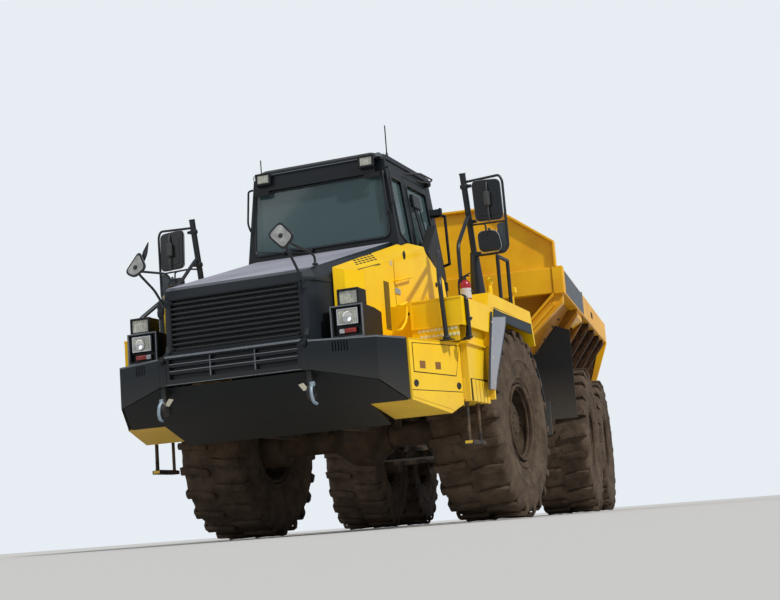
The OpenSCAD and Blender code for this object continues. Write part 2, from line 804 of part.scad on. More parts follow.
// Boxes behind the bumper's corners, their outer faces slanting out to the steps
module side_boxes() {
    y1 = -1530;
    inner = side_half + 10;
    wall = 20;
    color(yellow) truck()
        both_sides()
            difference() {
                intersection() {
                    across(inner, box_half, [
                        [side_box_front, corner_foot], [-1724, 955], [y1, 1040],
                        [y1, bumper_top - 10], [side_box_front, bumper_top - 10]
                    ]);
                    upward(900, bumper_top, [
                        [inner, side_box_front], [bumper_half + 18, side_box_front], [box_half, y1], [inner, y1]
                    ]);
                }
                intersection() {
                    across(inner + wall, box_half, [
                        [side_box_front + wall, corner_foot + wall], [-1724, 955 + wall], [y1 - wall, 1040 + wall],
                        [y1 - wall, bumper_top - 10 - wall], [side_box_front + wall, bumper_top - 10 - wall]
                    ]);
                    upward(900, bumper_top, [
                        [inner, side_box_front], [bumper_half + 18 - wall, side_box_front],
                        [box_half - wall, y1], [inner, y1]
                    ]);
                }
            }
}

// Half width at which the step deck's front face begins
deck_inner = 1240;

// Outline of the step deck seen from above, inset by t
function deck_plan(t) = [
    [side_half + seat_gap + t, -1620 + t], [deck_inner + t, -1620 + t], [deck_inner + t, -1750 + t],
    [fender_half - t, -1750 + t], [fender_half - t, -1000 - seat_gap - t],
    [side_half + seat_gap + t, -1000 - seat_gap - t]
];

module steps() {
    color(yellow) truck()
        both_sides() {
            // Deck box, its inner front corner set back, over a perforated riser
            difference() {
                upward(1720, deck_z, deck_plan(0));
                upward(1700, deck_z - 20, deck_plan(20));
            }
            difference() {
                block([deck_inner, -1745, bumper_top - 10 + seat_gap], [fender_half - 45, -1725, 1740]);
                for (row = [0, 1], i = [0 : 9])
                    translate([deck_inner + 88 + 38 * i - 15 * row, -1735, 1645 + 55 * row])
                        rotate([90, 0, 0]) cylinder(h = 40, d = 26, center = true, $fn = 24);
            }
            block([side_half + seat_gap, -1620, bumper_top - 10 + seat_gap], [deck_inner + 20, -1600, 1740]);
            block([deck_inner, -1740, bumper_top - 10 + seat_gap], [deck_inner + 20, -1605, 1740]);
            // Louvred step column
            difference() {
                block([side_half + 60, -1520, 1065], [fender_half - 60, -1010, 1740]);
                block([side_half + 80, -1500, 1085], [fender_half - 80, -1030, 1750]);
            }
            // Hanging step
            block([1560, -1480, 690], [1640, -1120, 720]);
            for (y = [-1460, -1150]) block([1590, y, 715], [1610, y + 16, 1070]);
        }
}

// Height of the fender's top at a distance back of the front axle
function fender_top(y) = fender_z - 30 * (y + 900) / 1360;

// Fender outline over the wheel, front post to rear edge
module fenders() {
    color(yellow) truck()
        both_sides() {
            across(side_half + seat_gap, fender_half, [
                [-1000, 1100], [-1000, 1960], [-900, fender_z], [460, fender_z - 30], [500, 1960], [565, 1740],
                [538, 1732], [468, 1950], [432, fender_z - 30 - fender_t], [-880, fender_z - fender_t],
                [-960, 1940], [-960, 1100]
            ]);
            // Skirt along the outer edge
            across(fender_half - 20, fender_half, [
                [-900, fender_z - 10], [450, fender_z - 40], [485, 1960], [-800, 1985], [-960, 1600], [-980, 1940]
            ]);
            // Arm to the rear cab mount
            block([660 + seat_gap, 360, 1980], [side_half + 20, 380, 2060]);
        }
}

module mudguards() {
    color(steel) truck()
        both_sides() {
            // Plate on the fender's front edge
            across(fender_half + seat_gap, fender_half + 10, [
                [-1030, 1210], [-970, 1200], [-930, 1230], [-390, 1950], [-800, 1965], [-940, 1640]
            ]);
            // Rubber edge
            across(fender_half - 14, fender_half, [
                [-780, 1984], [462, 1960 - seat_gap], [462, 1850], [-370, 1870]
            ]);
            // Flap behind the wheel: a sheet that runs on from the fender, and rubber under it
            across(side_half + 90, 1660, [
                [565, 1740 - 2 * seat_gap], [860, 1460], [990, 1190], [990, 1150], [976, 1150], [976, 1188],
                [848, 1452], [551, 1735.9 - 2 * seat_gap]
            ]);
            block([side_half + 90, 990 + seat_gap, 840], [1705, 1005, 1190]);
        }
}

// Cab

// Ring of the cab's outline at a height, inset by t
function cab_ring(z, half, front, back, t) = [
    [-half + t, -front + t, z], [half - t, -front + t, z], [half - t, back - t, z], [-half + t, back - t, z]
];

module cab_form(t) {
    loft([
        cab_ring(cab_floor + t, cab_half_low, cab_reach, cab_back, t),
        cab_ring(cab_sill, cab_half_low, cab_reach, cab_back, t),
        cab_ring(cab_eaves - t, cab_half_top, cab_reach - 35, cab_back, t)
    ]);
}

// Door outline (y, z), shrunk all round by s
function door_outline(s) = [
    [-330 + s, 3520 - s], [380 - s, 3520 - s], [380 - s, cab_floor + 50 + s],
    [60 + s, cab_floor + 50 + s], [30 + s, 2450 + s], [-330 + s, 2620 + s]
];

// Window outlines (y, z) for the sides and (x, z) for front and rear
front_quarter = [[-700, 2840], [-700, 3440], [-400, 3440], [-400, 2720]];
door_window = [[-260, 3440], [310, 3440], [310, 2560], [60, 2560], [-260, 2720]];
right_window = [[-300, 3440], [400, 3440], [400, 2720], [-300, 2720]];

module window_cuts(s) {
    // Windscreen
    along(-cab_reach - 60, -cab_reach + 130, [
        [-640 - s, 2830 - s], [640 + s, 2830 - s], [640 + s, 3470 + s], [-640 - s, 3470 + s]
    ]);
    // Rear window
    along(cab_back - 80, cab_back + 20, [
        [-560 - s, 2830 - s], [560 + s, 2830 - s], [560 + s, 3440 + s], [-560 - s, 3440 + s]
    ]);
    across(600, 900, front_quarter);
    mirror([1, 0, 0]) across(600, 900, front_quarter);
    mirror([1, 0, 0]) across(600, 900, right_window);
}

module cab_shell() {
    color(black) truck() {
        difference() {
            cab_form(0);
            cab_form(cab_wall);
            window_cuts(0);
            across(600, 900, door_outline(0));
        }
        // Hinge pins of the door, on brackets at its rear edge
        for (z = [2450, 3250]) {
            rod_z(door_hinge_x, door_hinge_y, z - 45, z + 45, 24);
            block([cab_half_top - 30, door_hinge_y + 22, z - 45], [door_hinge_x + 12, door_hinge_y + 36, z + 45]);
            for (dz = [-45, 33])
                block([door_hinge_x - 12, door_hinge_y, z + dz], [door_hinge_x + 12, door_hinge_y + 36, z + dz + 12]);
        }
        // Grab rails at the rear corners
        both_sides()
            bent_bar([[cab_half_low - 25, cab_back - 25, 2680], [cab_half_low + 60, cab_back - 25, 2700],
                [cab_half_low + 50, cab_back - 25, 3220], [cab_half_top + 20, cab_back - 25, 3250]], 30);
    }
}

door_hinge_x = cab_half_low + 28;
door_hinge_y = 392;

module cab_door() {
    color(black) truck() {
        difference() {
            intersection() {
                difference() {
                    cab_form(0);
                    cab_form(cab_wall);
                }
                across(600, 900, door_outline(door_gap));
            }
            across(600, 900, door_window);
        }
        for (z = [2450, 3250])
            difference() {
                union() {
                    rod_z(door_hinge_x, door_hinge_y, z - 30, z + 30, 40);
                    translate([0, 0, z - 30])
                        linear_extrude(60) polygon([
                            [cab_half_low - (z > 3000 ? 105 : 20), door_hinge_y - 78],
                            [cab_half_low - (z > 3000 ? 105 : 20), door_hinge_y - 48],
                            [door_hinge_x - 16, door_hinge_y + 8], [door_hinge_x - 2, door_hinge_y - 18]
                        ]);
                }
                rod_z(door_hinge_x, door_hinge_y, z - 50, z + 50, 24 + 2 * running_gap);
            }
    }
}

module glass_sheet() {
    difference() {
        cab_form(18);
        cab_form(18 + glass_t);
    }
}

module cab_glass() {
    color([0.35, 0.45, 0.45, 0.5]) truck()
        intersection() {
            glass_sheet();
            window_cuts(-seat_gap);
        }
}

module door_glass() {
    color([0.35, 0.45, 0.45, 0.5]) truck()
        intersection() {
            glass_sheet();
            across(600, 900, door_window);
        }
}

// Ring of the roof's outline at a height, its front corners cut
function roof_ring(z, half, front, back) = [
    [-half + 90, -front, z], [half - 90, -front, z], [half, -front + 130, z],
    [half, back, z], [-half, back, z], [-half, -front + 130, z]
];

module cab_roof() {
    lamp_x = 568;
    color(black) truck() {
        loft([
            roof_ring(cab_eaves + seat_gap, cab_half_top + 12, cab_reach + 40, cab_back + 20),
            roof_ring(cab_eaves + roof_t * 0.6, cab_half_top + 4, cab_reach + 10, cab_back + 10),
            roof_ring(cab_eaves + roof_t, cab_half_top - 50, cab_reach - 40, cab_back - 60)
        ]);
        // Visor band over the windscreen, and the work lamps on it
        block([-lamp_x - 70, -cab_reach - 30, cab_eaves - 144], [lamp_x + 70, -cab_reach - 5, cab_eaves + 10]);
        for (x = [-lamp_x, lamp_x])
            block([x - 72, -cab_reach - 60, cab_eaves - 94], [x + 72, -cab_reach - 20, cab_eaves + 28]);
        // Aerials
        rod_z(cab_half_top - 20, -cab_reach + 180, cab_eaves + 40, 3985, 12);
        rod_z(-cab_half_top + 20, -cab_reach + 180, cab_eaves + 40, 3860, 12);
    }
}

module seat() {
    color([0.2, 0.2, 0.21]) truck() {
        block([-180, -180, cab_floor + cab_wall], [180, 180, cab_floor + 320]);
        block([-260, -260, cab_floor + 320], [260, 250, cab_floor + 450]);
        across(-240, 240, [
            [200, cab_floor + 450], [290, cab_floor + 450], [350, cab_floor + 1130], [270, cab_floor + 1130]
        ]);
    }
}

module dashboard() {
    color(dark) truck() {
        across(-560, 560, [
            [-cab_reach + cab_wall + 20, cab_floor + cab_wall], [-cab_reach + cab_wall + 20, 2780],
            [-cab_reach + 230, 2780], [-cab_reach + 330, 2700], [-cab_reach + 260, cab_floor + cab_wall]
        ]);
        bar([0, -cab_reach + 280, 2640], [0, -342, 2816], 44);
        // Steering wheel
        translate([0, -340, 2820])
            rotate([-60, 0, 0]) {
                rotate_extrude($fn = 48) polygon([[190, -14], [220, -14], [220, 14], [190, 14]]);
                cylinder(h = 60, d = 90, center = true, $fn = 48);
                for (a = [0 : 120 : 240]) rotate([0, 0, a]) translate([30, -18, -8]) cube([170, 36, 14]);
            }
    }
}

module mirrors() {
    foot = fender_top(-640) + seat_gap;
    bend = [post_x, -520, fender_z + 420];
    top = [post_x, -700, post_top];
    // Point of the post's leaning part at a height
    function on_post(z) = bend + (top - bend) * (z - bend[2]) / (top[2] - bend[2]);
    rail_out = fender_half + 19 + seat_gap;
    color(black) truck()
        both_sides() {
            // Post with a thick conical foot
            rod_z(post_x, bend[1], foot, foot + 20, 240);
            translate([post_x, bend[1], foot + 20]) cylinder(h = 420, d1 = 150, d2 = 84, $fn = smooth);
            bar(bend - [0, 0, 10], top, 70);
            // Loop that carries the mirrors
            bent_bar([on_post(3220), [mirror_half - 20, -720, 3235], [mirror_half - 13, -700, 2560], on_post(2545)], 26);
            bar(on_post(2850), [mirror_half - 17, -710, 2850], 20);
            // Mirror heads
            block([post_x + 130, -745, 2855], [post_x + 350, -690, 3190]);
            block([post_x + 150, -745, 2590], [post_x + 350, -690, 2845]);
            // Long rail beside the steps
            bent_bar([[rail_out, -1640, deck_z - 200], [rail_out, -1680, 2415], on_post(2950)], 38);
        }
}

module handrails() {
    color(black) truck()
        both_sides() {
            // Hoop on the fender, on two round feet
            for (y = [-100, 240]) rod_z(1600, y, fender_top(y - 40) + seat_gap, fender_top(y - 40) + 16, 80);
            bent_bar([[1600, -100, fender_z - 12], [1600, -100, 2600], [1600, 240, 2600], [1600, 240, fender_z - 12]], 38);
        }
}

module air_cleaner() {
    color(yellow) truck() {
        rod_z(-1250, -1560, deck_z, deck_z + 330, 330);
        rod_z(-1250, -1560, deck_z + 330, deck_z + 420, 250);
    }
}

module extinguisher() {
    color("firebrick") truck() {
        rod_z(1555, -1075, deck_z + seat_gap, deck_z + 240, 110);
        rod_z(1555, -1075, deck_z + 240, deck_z + 285, 40);
    }
}

// Steering hitch

module hitch_yoke() {
    color(dark) rear() {
        difference() {
            union() {
                rod_z(0, hitch_y, hitch_z - hub_half_h, hitch_z + hub_half_h, 2 * hitch_r - 20);
                block([-130, hitch_y, hitch_z - 230], [130, hitch_y + 330, hitch_z + 230]);
                // Cross head with ears for the rod eyes
                for (side = [-1, 1])
                    upward(hitch_z + side * (eye_t / 2 + ear_gap + ear_t / 2) - ear_t / 2,
                        hitch_z + side * (eye_t / 2 + ear_gap + ear_t / 2) + ear_t / 2, [
                            [-100, hitch_y + 180], [100, hitch_y + 180],
                            [steer_eye_x, hitch_y + steer_eye_y - 80], [steer_eye_x + 75, hitch_y + steer_eye_y],
                            [steer_eye_x + 40, hitch_y + steer_eye_y + 60],
                            [-steer_eye_x - 40, hitch_y + steer_eye_y + 60],
                            [-steer_eye_x - 75, hitch_y + steer_eye_y], [-steer_eye_x, hitch_y + steer_eye_y - 80]
                        ]);
                block([-190, hitch_y + 300, hitch_z - 200], [190, hitch_y + 480, hitch_z + 200]);
                rod_y(0, hitch_y + 470, hitch_y + 1150, hitch_z, roll_tube_d);
            }
            rod_z(0, hitch_y, hitch_z - hub_half_h - 1, hitch_z + hub_half_h + 1, hitch_pin_d + 2 * running_gap);
        }
        rod_y(0, hitch_y + 1150 - 1, hitch_y + 1200, hitch_z, roll_tube_d + 90);
    }
}

// Steering cylinders, drawn along +Y from their base pin

// Where the base pin and rod pin of a side lie, side is 1 for left and -1 for right
function steer_base(side) = [side * steer_base_x, hitch_y - steer_base_y];
function steer_eye(side) = turned([side * steer_eye_x, hitch_y + steer_eye_y]);
function steer_len(side) = norm(steer_eye(side) - steer_base(side));
function steer_angle(side) =
    let (v = steer_eye(side) - steer_base(side)) atan2(v[1], v[0]) - 90;

module steer_place(side) {
    truck()
        translate([steer_base(side)[0], steer_base(side)[1], hitch_z])
            rotate([0, 0, steer_angle(side)])
                children();
}

module steer_barrel(side) {
    color(black) steer_place(side) {
        difference() {
            union() {
                rod_y(0, 160, steer_barrel_len, 0, steer_barrel_d);
                block([-45, 20, 4 - eye_t / 2], [45, 170, eye_t / 2 - 4]);
                rod_z(0, 0, -eye_t / 2, eye_t / 2, 130);
            }
            rod_z(0, 0, -eye_t, eye_t, 70 + 2 * running_gap);
            rod_y(0, 190, steer_barrel_len + 1, 0, steer_rod_d + 2 * running_gap);
        }
    }
}

module steer_rod(side) {
    color("silver") steer_place(side) {
        len = steer_len(side);
        rod_y(0, len - steer_rod_len, len - 40, 0, steer_rod_d);
        difference() {
            rod_z(0, len, -eye_t / 2, eye_t / 2, 130);
            rod_z(0, len, -eye_t, eye_t, 62);
        }
    }
}

// Rear section

tube_y = hitch_y + 640;
rear_rail_end = 7050;
// Height of the rear rails' underside at a distance back of the front axle
function rear_rail_low(y) = frame_low + 100 * (y - tube_y - 1400) / (rear_rail_end - tube_y - 1400);

module rear_frame() {
    color(dark) rear() {
        both_sides() {
            across(rear_rail_half - rail_t, rear_rail_half, [
                [tube_y + 200, hitch_z - 150], [tube_y + 700, hitch_z - 60], [tube_y + 1400, frame_low],
                [rear_rail_end, frame_low + 100], [rear_rail_end, frame_top - 40], [6500, frame_top],
                [tube_y + 800, frame_top], [tube_y + 200, frame_top - 160]
            ]);
        }
        for (y = [tube_y + 900, 5250, 6950])
            block([-rear_rail_half + 10, y, frame_low + 60], [rear_rail_half - 10, y + 90, frame_top - 60]);
        // Ring that turns on the hitch's tube
        difference() {
            union() {
                rod_y(0, tube_y, tube_y + 480, hitch_z, roll_tube_d + 130);
                block([-rear_rail_half + 5, tube_y + 180, hitch_z - 140], [rear_rail_half - 5, tube_y + 480, hitch_z + 300]);
            }
            rod_y(0, tube_y - 1, tube_y + 481, hitch_z, roll_tube_d + 2 * running_gap);
        }
        // Tipping hinge pin through the rails
        rod_x(-rear_rail_half - 150, rear_rail_half + 150, dump_hinge_y, dump_hinge_z, dump_pin_d);
        // Towing pin socket
        difference() {
            block([-120, 7030, 1250], [120, 7200, 1370]);
            rod_z(0, 7140, 1240, 1380, rear_tow_bore);
        }
    }
}

// Brackets beside the rear rails, with a boss and the pin that carries a hoist cylinder's foot
module hoist_brackets() {
    color(dark) rear()
        both_sides() {
            block([rear_rail_half + seat_gap, hoist_base_y - 90, hoist_base_z - 90],
                [hoist_x - hoist_barrel_d / 2 - 10, hoist_base_y + 90, frame_low + 160]);
            rod_x(hoist_x - hoist_barrel_d / 2 - 20, hoist_x - 62, hoist_base_y, hoist_base_z, 100);
            rod_x(hoist_x - 70, hoist_x + 70, hoist_base_y, hoist_base_z, 80);
        }
}

module rear_axles() {
    pivot_y = (mid_axle_y + rear_axle_y) / 2;
    color(dark) rear() {
        for (y = [mid_axle_y, rear_axle_y]) translate([0, y, wheel_z]) axle(520);
        both_sides() {
            // Walking beam between the axles
            across(520, 620, [
                [mid_axle_y - 160, tyre_r - 100], [rear_axle_y + 160, tyre_r - 100],
                [rear_axle_y + 160, tyre_r + 90], [pivot_y + 160, tyre_r + 190],
                [pivot_y - 160, tyre_r + 190], [mid_axle_y - 160, tyre_r + 90]
            ]);
            rod_x(rear_rail_half - 60, 640, pivot_y, tyre_r + 50, 150);
            across(rear_rail_half - rail_t + 10, rear_rail_half - 10, [
                [pivot_y - 90, tyre_r - 30], [pivot_y + 90, tyre_r - 30],
                [pivot_y + 90, rear_rail_low(pivot_y + 90) - seat_gap], [pivot_y - 90, rear_rail_low(pivot_y - 90) - seat_gap]
            ]);
        }
    }
}

// Tipping body

// Height of the rails' top at a station
function rail_at(y) = rail_top + (rail_top_rear - rail_top) * (y - body_front) / (body_rear - body_front);

// Ring of the body's outside at a station, inset by t and drawn up by rise: floor,
// slanted sides, rails
function body_ring(y, half, low, top, t, rise) = [
    [-half + t, y, low + t], [half - t, y, low + t],
    [body_half - rail_w - t * 1.3, y, top - rail_h + t * 0.4],
    [body_half - rail_w - t * 1.3, y, top + rise],
    [-(body_half - rail_w - t * 1.3), y, top + rise],
    [-(body_half - rail_w - t * 1.3), y, top - rail_h + t * 0.4]
];

module body_form(t) {
    front = body_front + 230 + t;
    knee = rear_axle_y + tyre_r + 60;
    rear = body_rear + (t > 0 ? 10 : 0);
    rise = t > 0 ? 400 : 0;
    loft([
        body_ring(front, floor_half, floor_z, rail_at(front), t, rise),
        body_ring(knee, floor_half, floor_z, rail_at(knee), t, rise),
        body_ring(rear, tail_half, tail_z, rail_at(rear), t, rise)
    ]);
}

module dump_body() {
    lug_y0 = dump_hinge_y - 120;
    lug_y1 = dump_hinge_y + 120;
    color(yellow) rear() {
        difference() {
            body_form(0);
            body_form(plate_t);
        }
        // Side rails
        both_sides()
            loft([
                [for (p = [[body_half - rail_w - 10, 0], [body_half, 0], [body_half, rail_h], [body_half - rail_w - 10, rail_h]])
                    [p[0], body_front, rail_at(body_front) - rail_h + p[1]]],
                [for (p = [[body_half - rail_w - 10, 0], [body_half, 0], [body_half, rail_h], [body_half - rail_w - 10, rail_h]])
                    [p[0], body_rear, rail_at(body_rear) - rail_h + p[1]]]
            ]);
        // Front cross rail
        block([-body_half, body_front - 40, rail_top - rail_h + 40], [body_half, body_front + 90, rail_top + 60]);
        // Front wall below the cross rail
        loft([
            [[-body_half + rail_w, body_front + 30, rail_top - rail_h + 50], [body_half - rail_w, body_front + 30, rail_top - rail_h + 50],
             [body_half - rail_w, body_front + 60, rail_top - rail_h + 50], [-body_half + rail_w, body_front + 60, rail_top - rail_h + 50]],
            [[-floor_half, body_front + 190, floor_z], [floor_half, body_front + 190, floor_z],
             [floor_half, body_front + 240, floor_z], [-floor_half, body_front + 240, floor_z]]
        ]);
        // Headboard
        along(body_front - 30, body_front + 10, [
            [-body_half + 60, rail_top + 50], [body_half - 60, rail_top + 50], [body_half - 75, head_corner],
            [head_half, head_top], [-head_half, head_top], [-body_half + 75, head_corner]
        ]);
        // Slanted beams under the cross rail's ends
        both_sides()
            loft([
                [for (q = [[body_half, rail_top - rail_h + 45], [body_half - 170, rail_top - rail_h + 45]]) each
                    [[q[0], body_front - 30, q[1]]],
                 [body_half - 170, body_front + 90, rail_top - rail_h + 45], [body_half, body_front + 90, rail_top - rail_h + 45]],
                [[floor_half + 60, body_front + 20, floor_z + 30], [floor_half - 110, body_front + 20, floor_z + 30],
                 [floor_half - 110, body_front + 140, floor_z + 30], [floor_half + 60, body_front + 140, floor_z + 30]]
            ]);
        // Lengthwise bearers that rest on the frame
        both_sides()
            block([rear_rail_half - rail_t + 10, 2700, frame_top + seat_gap], [rear_rail_half - 10, dump_hinge_y - 250, floor_z + 5]);
        // Hinge lugs
        both_sides()
            difference() {
                across(rear_rail_half + 15, rear_rail_half + 85, [
                    [lug_y0 - 60, floor_z + 5], [lug_y0 + 40, dump_hinge_z - 90], [lug_y1 - 40, dump_hinge_z - 90],
                    [lug_y1 + 60, floor_z + 5]
                ]);
                rod_x(rear_rail_half, rear_rail_half + 100, dump_hinge_y, dump_hinge_z, dump_pin_d + 2 * running_gap);
            }
        // Hoist ears
        both_sides()
            for (x = [hoist_x - 45 - ear_gap - 22, hoist_x + 45 + ear_gap])
                across(x, x + 22, [
                    [hoist_eye_y - 130, floor_z + 5], [hoist_eye_y - 60, hoist_eye_z - 55],
                    [hoist_eye_y + 60, hoist_eye_z - 55], [hoist_eye_y + 130, floor_z + 5]
                ]);
    }
}

// Height of the body's slanted side at a station and a distance from the middle
function slant_at(x, y) = floor_z
    + (rail_at(y) - rail_h - floor_z) * (x - floor_half) / (body_half - rail_w - floor_half);

module mudflaps() {
    y1 = mid_axle_y - tyre_r - 295;
    inner = half_track - tyre_w / 2 - 12;
    peak = half_track + 125;
    outer = half_track + 295;
    drop = 20;
    color([0.1, 0.11, 0.11]) rear()
        both_sides()
            along(y1 - 20, y1, [
                [inner, floor_z - seat_gap], [floor_half - 10, floor_z - seat_gap],
                [floor_half, slant_at(floor_half, y1) - drop], [peak, slant_at(peak, y1) - drop],
                [outer, slant_at(peak, y1) - drop - 70], [outer, 1150], [inner, 1150]
            ]);
}

// Hoist cylinders, drawn along their own length from the base pin

hoist_dy = hoist_eye_y - hoist_base_y;
hoist_dz = hoist_eye_z - hoist_base_z;
hoist_len = norm([hoist_dy, hoist_dz]);
hoist_tilt = atan2(hoist_dz, hoist_dy);

module hoist_place() {
    rear()
        both_sides()
            translate([hoist_x, hoist_base_y, hoist_base_z])
                rotate([hoist_tilt, 0, 0])
                    children();
}

module hoist_barrels() {
    color(black) hoist_place()
        difference() {
            union() {
                rod_y(0, 60, hoist_barrel_len, 0, hoist_barrel_d);
                rod_x(-45, 45, 0, 0, 170);
            }
            rod_x(-50, 50, 0, 0, 80 + 2 * running_gap);
            rod_y(0, 110, hoist_barrel_len + 1, 0, hoist_rod_d + 2 * running_gap);
        }
}

module hoist_rods() {
    color("silver") hoist_place() {
        rod_y(0, hoist_len - hoist_rod_len, hoist_len - 190, 0, hoist_rod_d);
        block([4 - 45, hoist_len - 200, -45], [45 - 4, hoist_len - 50, 45]);
        difference() {
            rod_x(-45, 45, hoist_len, 0, 150);
            rod_x(-50, 50, hoist_len, 0, 70);
        }
    }
}

// Wheels in place: side is 1 for left and -1 for right

module front_wheel(side) {
    truck() translate([side * half_track, 0, wheel_z]) mirror([side < 0 ? 1 : 0, 0, 0]) children();
}

module rear_wheel(side, y) {
    rear() translate([side * half_track, y, wheel_z]) mirror([side < 0 ? 1 : 0, 0, 0]) children();
}

front_frame();
steer_brackets();
engine();
front_axle();
belly_guard();
bumper();
lower_grille();
side_panels();
cab_base();
headlamps();
side_boxes();
steps();
fenders();
mudguards();
cab_shell();
cab_roof();
cab_glass();
seat();
dashboard();
mirrors();
handrails();
air_cleaner();
extinguisher();
hood_top();
grille();
hood_mirrors();
cab_door();
door_glass();
hitch_yoke();
rear_frame();
hoist_brackets();
rear_axles();
dump_body();
mudflaps();
hoist_barrels();
hoist_rods();
steer_barrel(1);  // steer_barrel_left
steer_rod(1);  // steer_rod_left
steer_barrel(-1);  // steer_barrel_right
steer_rod(-1);  // steer_rod_right
front_wheel(1) tyre();  // tyre_front_left
front_wheel(-1) tyre();  // tyre_front_right
rear_wheel(1, mid_axle_y) tyre();  // tyre_middle_left
rear_wheel(-1, mid_axle_y) tyre();  // tyre_middle_right
rear_wheel(1, rear_axle_y) tyre();  // tyre_rear_left
rear_wheel(-1, rear_axle_y) tyre();  // tyre_rear_right
front_wheel(1) rim();  // rim_front_left
front_wheel(-1) rim();  // rim_front_right
rear_wheel(1, mid_axle_y) rim();  // rim_middle_left
rear_wheel(-1, mid_axle_y) rim();  // rim_middle_right
rear_wheel(1, rear_axle_y) rim();  // rim_rear_left
rear_wheel(-1, rear_axle_y) rim();  // rim_rear_right
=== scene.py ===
"""Looks of an articulated dump truck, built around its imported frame."""
import json
import math

import bpy
from mathutils import Matrix, Vector


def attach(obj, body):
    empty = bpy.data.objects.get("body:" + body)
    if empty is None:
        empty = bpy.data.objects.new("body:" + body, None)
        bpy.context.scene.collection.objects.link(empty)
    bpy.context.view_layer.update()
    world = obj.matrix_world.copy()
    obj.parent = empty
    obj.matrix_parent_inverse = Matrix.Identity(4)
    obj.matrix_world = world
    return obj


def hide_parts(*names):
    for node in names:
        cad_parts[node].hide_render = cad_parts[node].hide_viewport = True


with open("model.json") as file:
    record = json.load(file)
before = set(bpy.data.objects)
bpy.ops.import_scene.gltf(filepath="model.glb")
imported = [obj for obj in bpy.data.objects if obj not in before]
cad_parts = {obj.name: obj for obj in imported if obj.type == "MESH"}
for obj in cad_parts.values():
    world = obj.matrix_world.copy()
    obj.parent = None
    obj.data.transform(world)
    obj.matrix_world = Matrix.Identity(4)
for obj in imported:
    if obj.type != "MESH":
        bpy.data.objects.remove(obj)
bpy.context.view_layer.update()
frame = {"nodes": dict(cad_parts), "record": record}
NODES = frame["nodes"]

# The frame's numbers that pieces are laid out from, in metres. Points below are given from
# the ground under the front axle, as in the part's source, and moved here.
ORIGIN = Vector((-0.3176048, 2.3405977, 0.0))
HITCH = Vector((0.0, 1.6, 1.1))
REST_TURN = math.radians(8.0)
WHEEL_Z = 0.93204
HALF_TRACK = 1.345
AXLE_Y = {"front": 0.0, "middle": 4.35, "rear": 6.32}

REAR_BODIES = {"rear", "dump", "hoist_barrel", "hoist_rod", "wheel_middle_left", "wheel_middle_right",
               "wheel_rear_left", "wheel_rear_right"}
FRONT_PLACE = Matrix.Translation(-ORIGIN)
REAR_PLACE = (FRONT_PLACE @ Matrix.Translation(HITCH) @ Matrix.Rotation(REST_TURN, 4, "Z")
              @ Matrix.Translation(-HITCH))


# Shader maths: an expression on values adds its Math nodes

class Value:
    """A number that varies over a surface."""

    def __init__(self, tree, socket):
        self.tree = tree
        self.socket = socket

    def _math(self, operation, *others):
        node = self.tree.nodes.new("ShaderNodeMath")
        node.operation = operation
        for place, item in enumerate((self, *others)):
            if isinstance(item, Value):
                self.tree.links.new(item.socket, node.inputs[place])
            else:
                node.inputs[place].default_value = item
        return Value(self.tree, node.outputs[0])

    def __add__(self, other):
        return self._math("ADD", other)

    def __mul__(self, other):
        return self._math("MULTIPLY", other)

    def __sub__(self, other):
        return self._math("SUBTRACT", other)

    def least(self, other):
        return self._math("MINIMUM", other)

    def most(self, other):
        return self._math("MAXIMUM", other)

    def clamped(self):
        return self.most(0.0).least(1.0)

    def ramped(self, low, high):
        """0 at low and below, 1 at high and above."""
        return ((self - low) * (1.0 / (high - low))).clamped()


